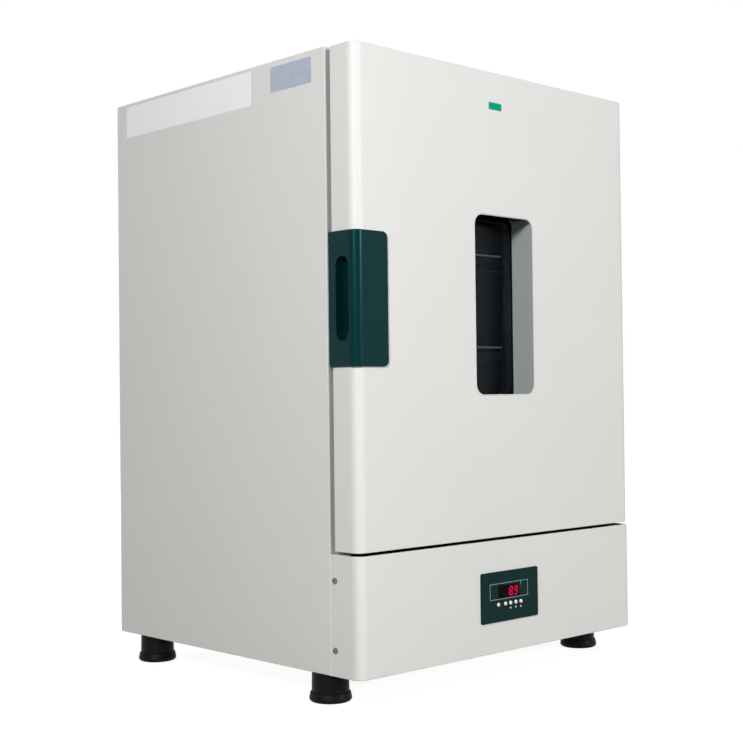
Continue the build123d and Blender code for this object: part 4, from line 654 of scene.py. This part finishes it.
frame_lines = [
    stroke((LINES_LEFT, LINES_LOW), (LINES_RIGHT, LINES_LOW)),
    stroke((LINES_RIGHT, LINES_LOW + LINE_WIDTH), (LINES_RIGHT, LINES_HIGH - LINE_WIDTH)),
    stroke((LINES_RIGHT, LINES_HIGH), (LINES_LEFT, LINES_HIGH)),
    stroke((LINES_LEFT, LINES_HIGH - LINE_WIDTH), (LINES_LEFT, LINES_LOW + LINE_WIDTH)),
    stroke((TICK_X, LINES_HIGH - LINE_WIDTH), (TICK_X, LINES_HIGH - TICK_LENGTH)),
]
flat_strokes("printed_frame", frame_lines, fascia_y, INK, print_pale)
arrows = []
for button, aim in (("button_3", (-1, 0)), ("button_4", (0, -1)), ("button_5", (0, 1))):
    key_low, key_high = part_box(button)
    arrows.append(arrow(Vector(((key_low[0] + key_high[0]) / 2, ARROW_Z)), aim))
flat_strokes("printed_arrows", arrows, fascia_y, INK, print_white)


# Display digits: three seven-segment characters that show through the smoked window, slanted a
# little. They are made as thin plates on its face. The first is dark, and the other two are lit
# with a point between them.
DIGIT_HEIGHT = 0.0132
DIGIT_WIDTH = 0.0078
DIGIT_PITCH = 0.0108
DIGIT_SLANT = math.radians(8)
FIRST_DIGIT_X = left_x + 0.2688
SEGMENT = 0.0021
SEGMENT_POINT = 0.62
SEGMENT_GAP = 0.35
DOT_RADIUS = 0.0009
DOT_RISE = 0.0008
DOT_SIDES = 12
LIT = {"8": "abcdefg", "9": "abcdfg", " ": ""}
GLOW_DEEP = (0.86, 0.003, 0.07)
GLOW_BRIGHT = (1.0, 0.01, 0.11)
GLOW_BASE = (0.02, 0.0, 0.002, 1.0)
GLOW_GRAIN = 900.0
GLOW_STRENGTH = 0.92
GLOW_ROUGHNESS = 0.4

glow_red, glow_tree, glow_skin = new_finish("digit_glow")
glow_tone = toned(glow_tree, noise(glow_tree, GLOW_GRAIN), GLOW_DEEP, GLOW_BRIGHT)
glow_tree.links.new(glow_tone, glow_skin.inputs["Emission Color"])
glow_skin.inputs["Base Color"].default_value = GLOW_BASE
glow_skin.inputs["Emission Strength"].default_value = GLOW_STRENGTH
glow_skin.inputs["Specular IOR Level"].default_value = 0.0
glow_skin.inputs["Roughness"].default_value = GLOW_ROUGHNESS
unlit_red = coated(
    "digit_unlit", (0.006, 0.002, 0.003), drift=0.1, clouds=500.0, roughness=0.4, spread=0.05,
    grain=3000.0, relief=0.02, Specular_IOR_Level=0.02
)


def segments(character, lit):
    """Outlines of a character's lit or unlit segments, on a cell from its lower left corner."""
    half_bar = SEGMENT / 2
    left, right = half_bar, DIGIT_WIDTH - half_bar
    low, middle, high = half_bar, DIGIT_HEIGHT / 2, DIGIT_HEIGHT - half_bar
    places = {
        "a": ((left, high), (right, high)),
        "b": ((right, middle), (right, high)),
        "c": ((right, low), (right, middle)),
        "d": ((left, low), (right, low)),
        "e": ((left, low), (left, middle)),
        "f": ((left, middle), (left, high)),
        "g": ((left, middle), (right, middle)),
    }
    bars = []
    for letter, ends in places.items():
        if (letter in LIT[character]) != lit:
            continue
        start, end = (Vector(point) for point in ends)
        along = (end - start).normalized()
        side = Vector((-along.y, along.x)) * half_bar
        start += along * half_bar * SEGMENT_GAP
        end -= along * half_bar * SEGMENT_GAP
        near = start + along * SEGMENT * SEGMENT_POINT
        far = end - along * SEGMENT * SEGMENT_POINT
        bars.append([start, near - side, far - side, end, far + side, near + side])
    return bars


lens_low, lens_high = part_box("display_lens")
digit_low = (lens_low[2] + lens_high[2] - DIGIT_HEIGHT) / 2
lit_outlines = []
dark_outlines = []
for cell, character in enumerate(" 89"):
    cell_x = FIRST_DIGIT_X + cell * DIGIT_PITCH
    for outlines, lit in ((lit_outlines, True), (dark_outlines, False)):
        for bar in segments(character, lit):
            outlines.append([(cell_x + x + z * math.tan(DIGIT_SLANT), digit_low + z) for x, z in bar])
dot_x = FIRST_DIGIT_X + 2 * DIGIT_PITCH - (DIGIT_PITCH - DIGIT_WIDTH) / 2
dot = []
for step in range(DOT_SIDES):
    turn = 2 * math.pi * step / DOT_SIDES
    dot.append((dot_x + DOT_RADIUS * math.cos(turn), digit_low + DOT_RISE + DOT_RADIUS * math.sin(turn)))
lit_outlines.append(dot)
flat_strokes("lit_digits", lit_outlines, lens_y, INK, glow_red)
flat_strokes("dark_digits", dark_outlines, lens_y, INK / 2, unlit_red)


# Window: a folded stainless tunnel behind the door's cut-out, blasted matt, the pressed pan that
# the inner pane bears on, and two panes of tempered glass with a black spacer between them. The
# glass has an anti-glare coat, which its low index stands in for.
GLASS_MARGIN = 0.008
RIM_WALL = 0.001
RIM_DEPTH = 0.0014
RIM_BEVEL = 0.0006
RIM_STEPS = 4
OPENING_RADIUS = 0.015
OPENING_STEPS = 12
TUNNEL_RISE = 0.0072
TUNNEL_WALL = 0.0006
FOLD_RADIUS = 0.0009
STREAK_DETAIL = 5.0
STREAK_HEIGHT = 0.0001
STREAK_GLOSS = 0.8
STREAK_MATT = 1.25
PANE_DEEP = (0.67, 0.75, 0.83)
PANE_CLEAR = (0.71, 0.79, 0.88)
PANE_CLOUDS = 3.0
PANE_GLOSS = 0.01
PANE_HAZE = 0.035
PANE_INDEX = 1.12


def brushed(name, colour, drift, roughness, lines, stretch, relief, metal=1.0):
    """Rolled and brushed steel: fine lines, so many to a metre, stretched by axis."""
    finish, tree, skin = new_finish(name)
    skin.inputs["Metallic"].default_value = metal
    streaks = noise(tree, lines, STREAK_DETAIL, stretch)
    tree.links.new(toned(tree, streaks, *shades(colour, drift)), skin.inputs["Base Color"])
    gloss = mapped(tree, streaks, roughness * STREAK_GLOSS, roughness * STREAK_MATT)
    tree.links.new(gloss, skin.inputs["Roughness"])
    raise_skin(tree, skin, streaks, relief, STREAK_HEIGHT)
    return finish


tunnel_steel = brushed(
    "tunnel_steel", (0.40, 0.43, 0.425), drift=0.10, roughness=0.5, lines=900.0,
    stretch=(1.0, 0.6, 0.03), relief=0.2, metal=0.1
)
pan_steel = brushed(
    "pan_steel", (0.52, 0.53, 0.53), drift=0.08, roughness=0.34, lines=900.0,
    stretch=(1.0, 0.6, 0.03), relief=0.2
)
spacer_black = coated(
    "spacer_black", (0.018, 0.021, 0.026), drift=0.15, clouds=80.0, roughness=0.55, spread=0.05,
    grain=1200.0, relief=0.05
)
pane, pane_tree, pane_skin = new_finish("tempered_glass")
pane_cloud = noise(pane_tree, PANE_CLOUDS)
pane_tree.links.new(toned(pane_tree, pane_cloud, PANE_DEEP, PANE_CLEAR), pane_skin.inputs["Base Color"])
pane_tree.links.new(mapped(pane_tree, pane_cloud, PANE_GLOSS, PANE_HAZE), pane_skin.inputs["Roughness"])
pane_skin.inputs["IOR"].default_value = PANE_INDEX
pane_skin.inputs["Transmission Weight"].default_value = 1.0
dress(pan_steel, "door_inner_pan")
dress(spacer_black, "window_spacer")
dress(pane, "window_panes")

frame_low, frame_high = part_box("window_frame")
glass_y = frame_high[1]


def opening_outline(grow_x, grow_z, radius):
    """The opening's outline grown sideways and upwards, its corners rounded, as (x, z) points."""
    low = (frame_low[0] + GLASS_MARGIN - grow_x, frame_low[2] + GLASS_MARGIN - grow_z)
    high = (frame_high[0] - GLASS_MARGIN + grow_x, frame_high[2] - GLASS_MARGIN + grow_z)
    return rounded_rectangle(low, high, radius, OPENING_STEPS)


def rim_outline(grow):
    """The opening's outline grown by an amount."""
    return opening_outline(grow, grow, OPENING_RADIUS + grow)


def lofted_ring(name, stations, finish):
    """A closed ring round the opening, lofted through (outline, y) stations that end on the first."""
    ring = bmesh.new()
    loops = [[ring.verts.new((x, y, z)) for x, z in outline] for outline, y in stations]
    for near, far in zip(loops, loops[1:] + loops[:1]):
        for step in range(len(near)):
            after = (step + 1) % len(near)
            ring.faces.new((near[step], near[after], far[after], far[step]))
    return as_piece(name, ring, finish, "door")


rim_back = face_y + RIM_DEPTH
rim_stations = [(rim_outline(RIM_WALL), face_y)]
for turn in quarter_turn(0, RIM_STEPS):
    bevel = rim_outline(RIM_BEVEL * (1 - math.sin(turn)))
    rim_stations.append((bevel, face_y + RIM_BEVEL * (1 - math.cos(turn))))
rim_stations += [(rim_outline(0), rim_back), (rim_outline(RIM_WALL), rim_back)]
lofted_ring("window_rim", rim_stations, powder_coat)

inside = opening_outline(TUNNEL_WALL, TUNNEL_RISE, FOLD_RADIUS)
outside = opening_outline(2 * TUNNEL_WALL, TUNNEL_RISE + TUNNEL_WALL, FOLD_RADIUS + TUNNEL_WALL)
flange = opening_outline(GLASS_MARGIN, GLASS_MARGIN, FOLD_RADIUS + TUNNEL_WALL)
tunnel_stations = [
    (outside, rim_back),
    (inside, rim_back),
    (inside, glass_y),
    (flange, glass_y),
    (flange, glass_y - TUNNEL_WALL),
    (outside, glass_y - TUNNEL_WALL),
]
window_tunnel = lofted_ring("window_tunnel", tunnel_stations, tunnel_steel)
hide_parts("window_frame")


# Door seal, catches and wool: a hollow silicone profile round the door's back, ferrite magnets with
# steel keepers, and yellowish mineral wool. The door's wool slab is near black instead, as painted
# shade for the sliver of it that shows at the top of the window tunnel.
seal_grey = coated(
    "seal_grey", (0.10, 0.10, 0.10), drift=0.1, clouds=60.0, roughness=0.6, spread=0.05,
    grain=900.0, relief=0.12
)
wool = coated(
    "mineral_wool", (0.42, 0.37, 0.20), drift=0.3, clouds=120.0, roughness=0.95, spread=0.03,
    grain=700.0, relief=0.9
)
# Painted shade: the door's wool is near black where its edge shows in the window tunnel.
door_wool_shade = coated(
    "door_wool_painted_shade", (0.05, 0.052, 0.056), drift=0.2, clouds=150.0, roughness=0.85, spread=0.05,
    grain=900.0, relief=0.4, Specular_IOR_Level=0.1
)
ferrite = coated(
    "ferrite", (0.03, 0.03, 0.032), drift=0.15, clouds=300.0, roughness=0.5, spread=0.08,
    grain=2000.0, relief=0.15
)
dress(seal_grey, "door_gasket")
dress(wool, "insulation")
dress(door_wool_shade, "door_insulation")
dress(ferrite, "magnet_catches")


# Sill strip: a thin near-black sheet on the ledge of the lower front panel, just below the
# door. It is painted shade, which darkens the gap under the door.
SILL_INSET = 0.004
SILL_DEPTH = 0.03
SILL_RADIUS = 0.014
# Painted shade: a near-black sheet that darkens the gap under the door.
gap_shade_black = coated(
    "sill_painted_shade", (0.004, 0.004, 0.004), drift=0.2, clouds=90.0, roughness=0.7, spread=0.05,
    grain=1200.0, relief=0.1, Specular_IOR_Level=0.05
)
ledge_low, ledge_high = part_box("lower_front_panel")
sill_ends = (
    (left_x + SILL_INSET, ledge_low[1] + SILL_INSET, ledge_high[2]),
    (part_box("door_shell")[1][0] - SILL_INSET, ledge_low[1] + SILL_DEPTH, ledge_high[2]),
)
foil("sill_strip", sill_ends, (0, 0, 1), SILL_RADIUS, gap_shade_black, "cabinet")


# Inner chamber and its fittings: folded stainless sheet with a dull rolled finish, slotted
# uprights and runners, a punched air baffle, and a fan wheel of bent blades on a ground shaft. The
# brackets and plates round it are zinc-plated steel, and the heater is a sheathed rod.
liner_steel = brushed(
    "liner_steel", (0.36, 0.375, 0.385), drift=0.08, roughness=0.30, lines=700.0,
    stretch=(0.6, 1.0, 0.04), relief=0.2
)
fitting_steel = brushed(
    "fitting_steel", (0.55, 0.56, 0.56), drift=0.10, roughness=0.30, lines=900.0,
    stretch=(1.0, 0.6, 0.05), relief=0.2
)
zinc = coated(
    "zinc_plate", (0.45, 0.46, 0.47), drift=0.14, clouds=45.0, roughness=0.38, spread=0.08,
    grain=900.0, relief=0.08, Metallic=1.0
)
heater_steel = coated(
    "heater_sheath", (0.20, 0.17, 0.15), drift=0.2, clouds=120.0, roughness=0.45, spread=0.1,
    grain=900.0, relief=0.1, Metallic=0.9
)
motor_grey = coated(
    "motor_grey", (0.09, 0.10, 0.11), drift=0.1, clouds=80.0, roughness=0.45, spread=0.06,
    grain=900.0, relief=0.12
)
dress(liner_steel, "inner_chamber", "air_baffle")
dress(fitting_steel, "shelf_uprights", "shelf_runners", "fan_impeller", "fan_shaft", "temperature_probe")
dress(fitting_steel, "exhaust_tube")
dress(zinc, "base_plate", "compartment_divider", "panel_brackets", "motor_bracket", "keeper_plates")
dress(heater_steel, "heater_element")
dress(motor_grey, "fan_motor")


# Shelves: welded steel wire, polished and nickel plated. A thin line of glow along the very front
# of the front rail stands in for the flash of daylight that the two panes hold back.
FLASH = (0.24, 0.24, 0.24)
FLASH_DEPTH = 0.00016
BLACK = (0.0, 0.0, 0.0)
shelf_nickel = coated(
    "shelf_nickel", (0.72, 0.72, 0.70), drift=0.05, clouds=120.0, roughness=0.2, spread=0.05,
    grain=1200.0, relief=0.05, Metallic=1.0, Emission_Strength=1.0
)
shelf_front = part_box("upper_shelf")[0][1]
nickel_tree = shelf_nickel.node_tree
rail_place = nickel_tree.nodes.new("ShaderNodeTexCoord")
rail_axes = nickel_tree.nodes.new("ShaderNodeSeparateXYZ")
nickel_tree.links.new(rail_place.outputs["Object"], rail_axes.inputs[0])
flash = mapped(nickel_tree, rail_axes.outputs["Y"], 1.0, 0.0, shelf_front, shelf_front + FLASH_DEPTH)
flash_tone = toned(nickel_tree, flash, BLACK, FLASH)
nickel_tree.links.new(flash_tone, nickel_tree.nodes["Principled BSDF"].inputs["Emission Color"])
dress(shelf_nickel, "upper_shelf", "lower_shelf")


# Rear fittings: a black nylon cable gland, a snap-in power rocker in its frame, a relay on an
# anodised heat sink, and the moulded cap of the exhaust port on top.
nylon = coated(
    "nylon_black", (0.02, 0.02, 0.021), drift=0.12, clouds=120.0, roughness=0.42, spread=0.06,
    grain=1500.0, relief=0.12
)
anodised = coated(
    "anodised", (0.55, 0.56, 0.58), drift=0.05, clouds=90.0, roughness=0.4, spread=0.05,
    grain=1800.0, relief=0.1, Metallic=0.8
)
dress(nylon, "cable_gland", "power_switch_frame", "power_rocker", "damper_cap")
dress(anodised, "relay_on_heat_sink")


bpy.context.scene.view_settings.view_transform = "Standard"
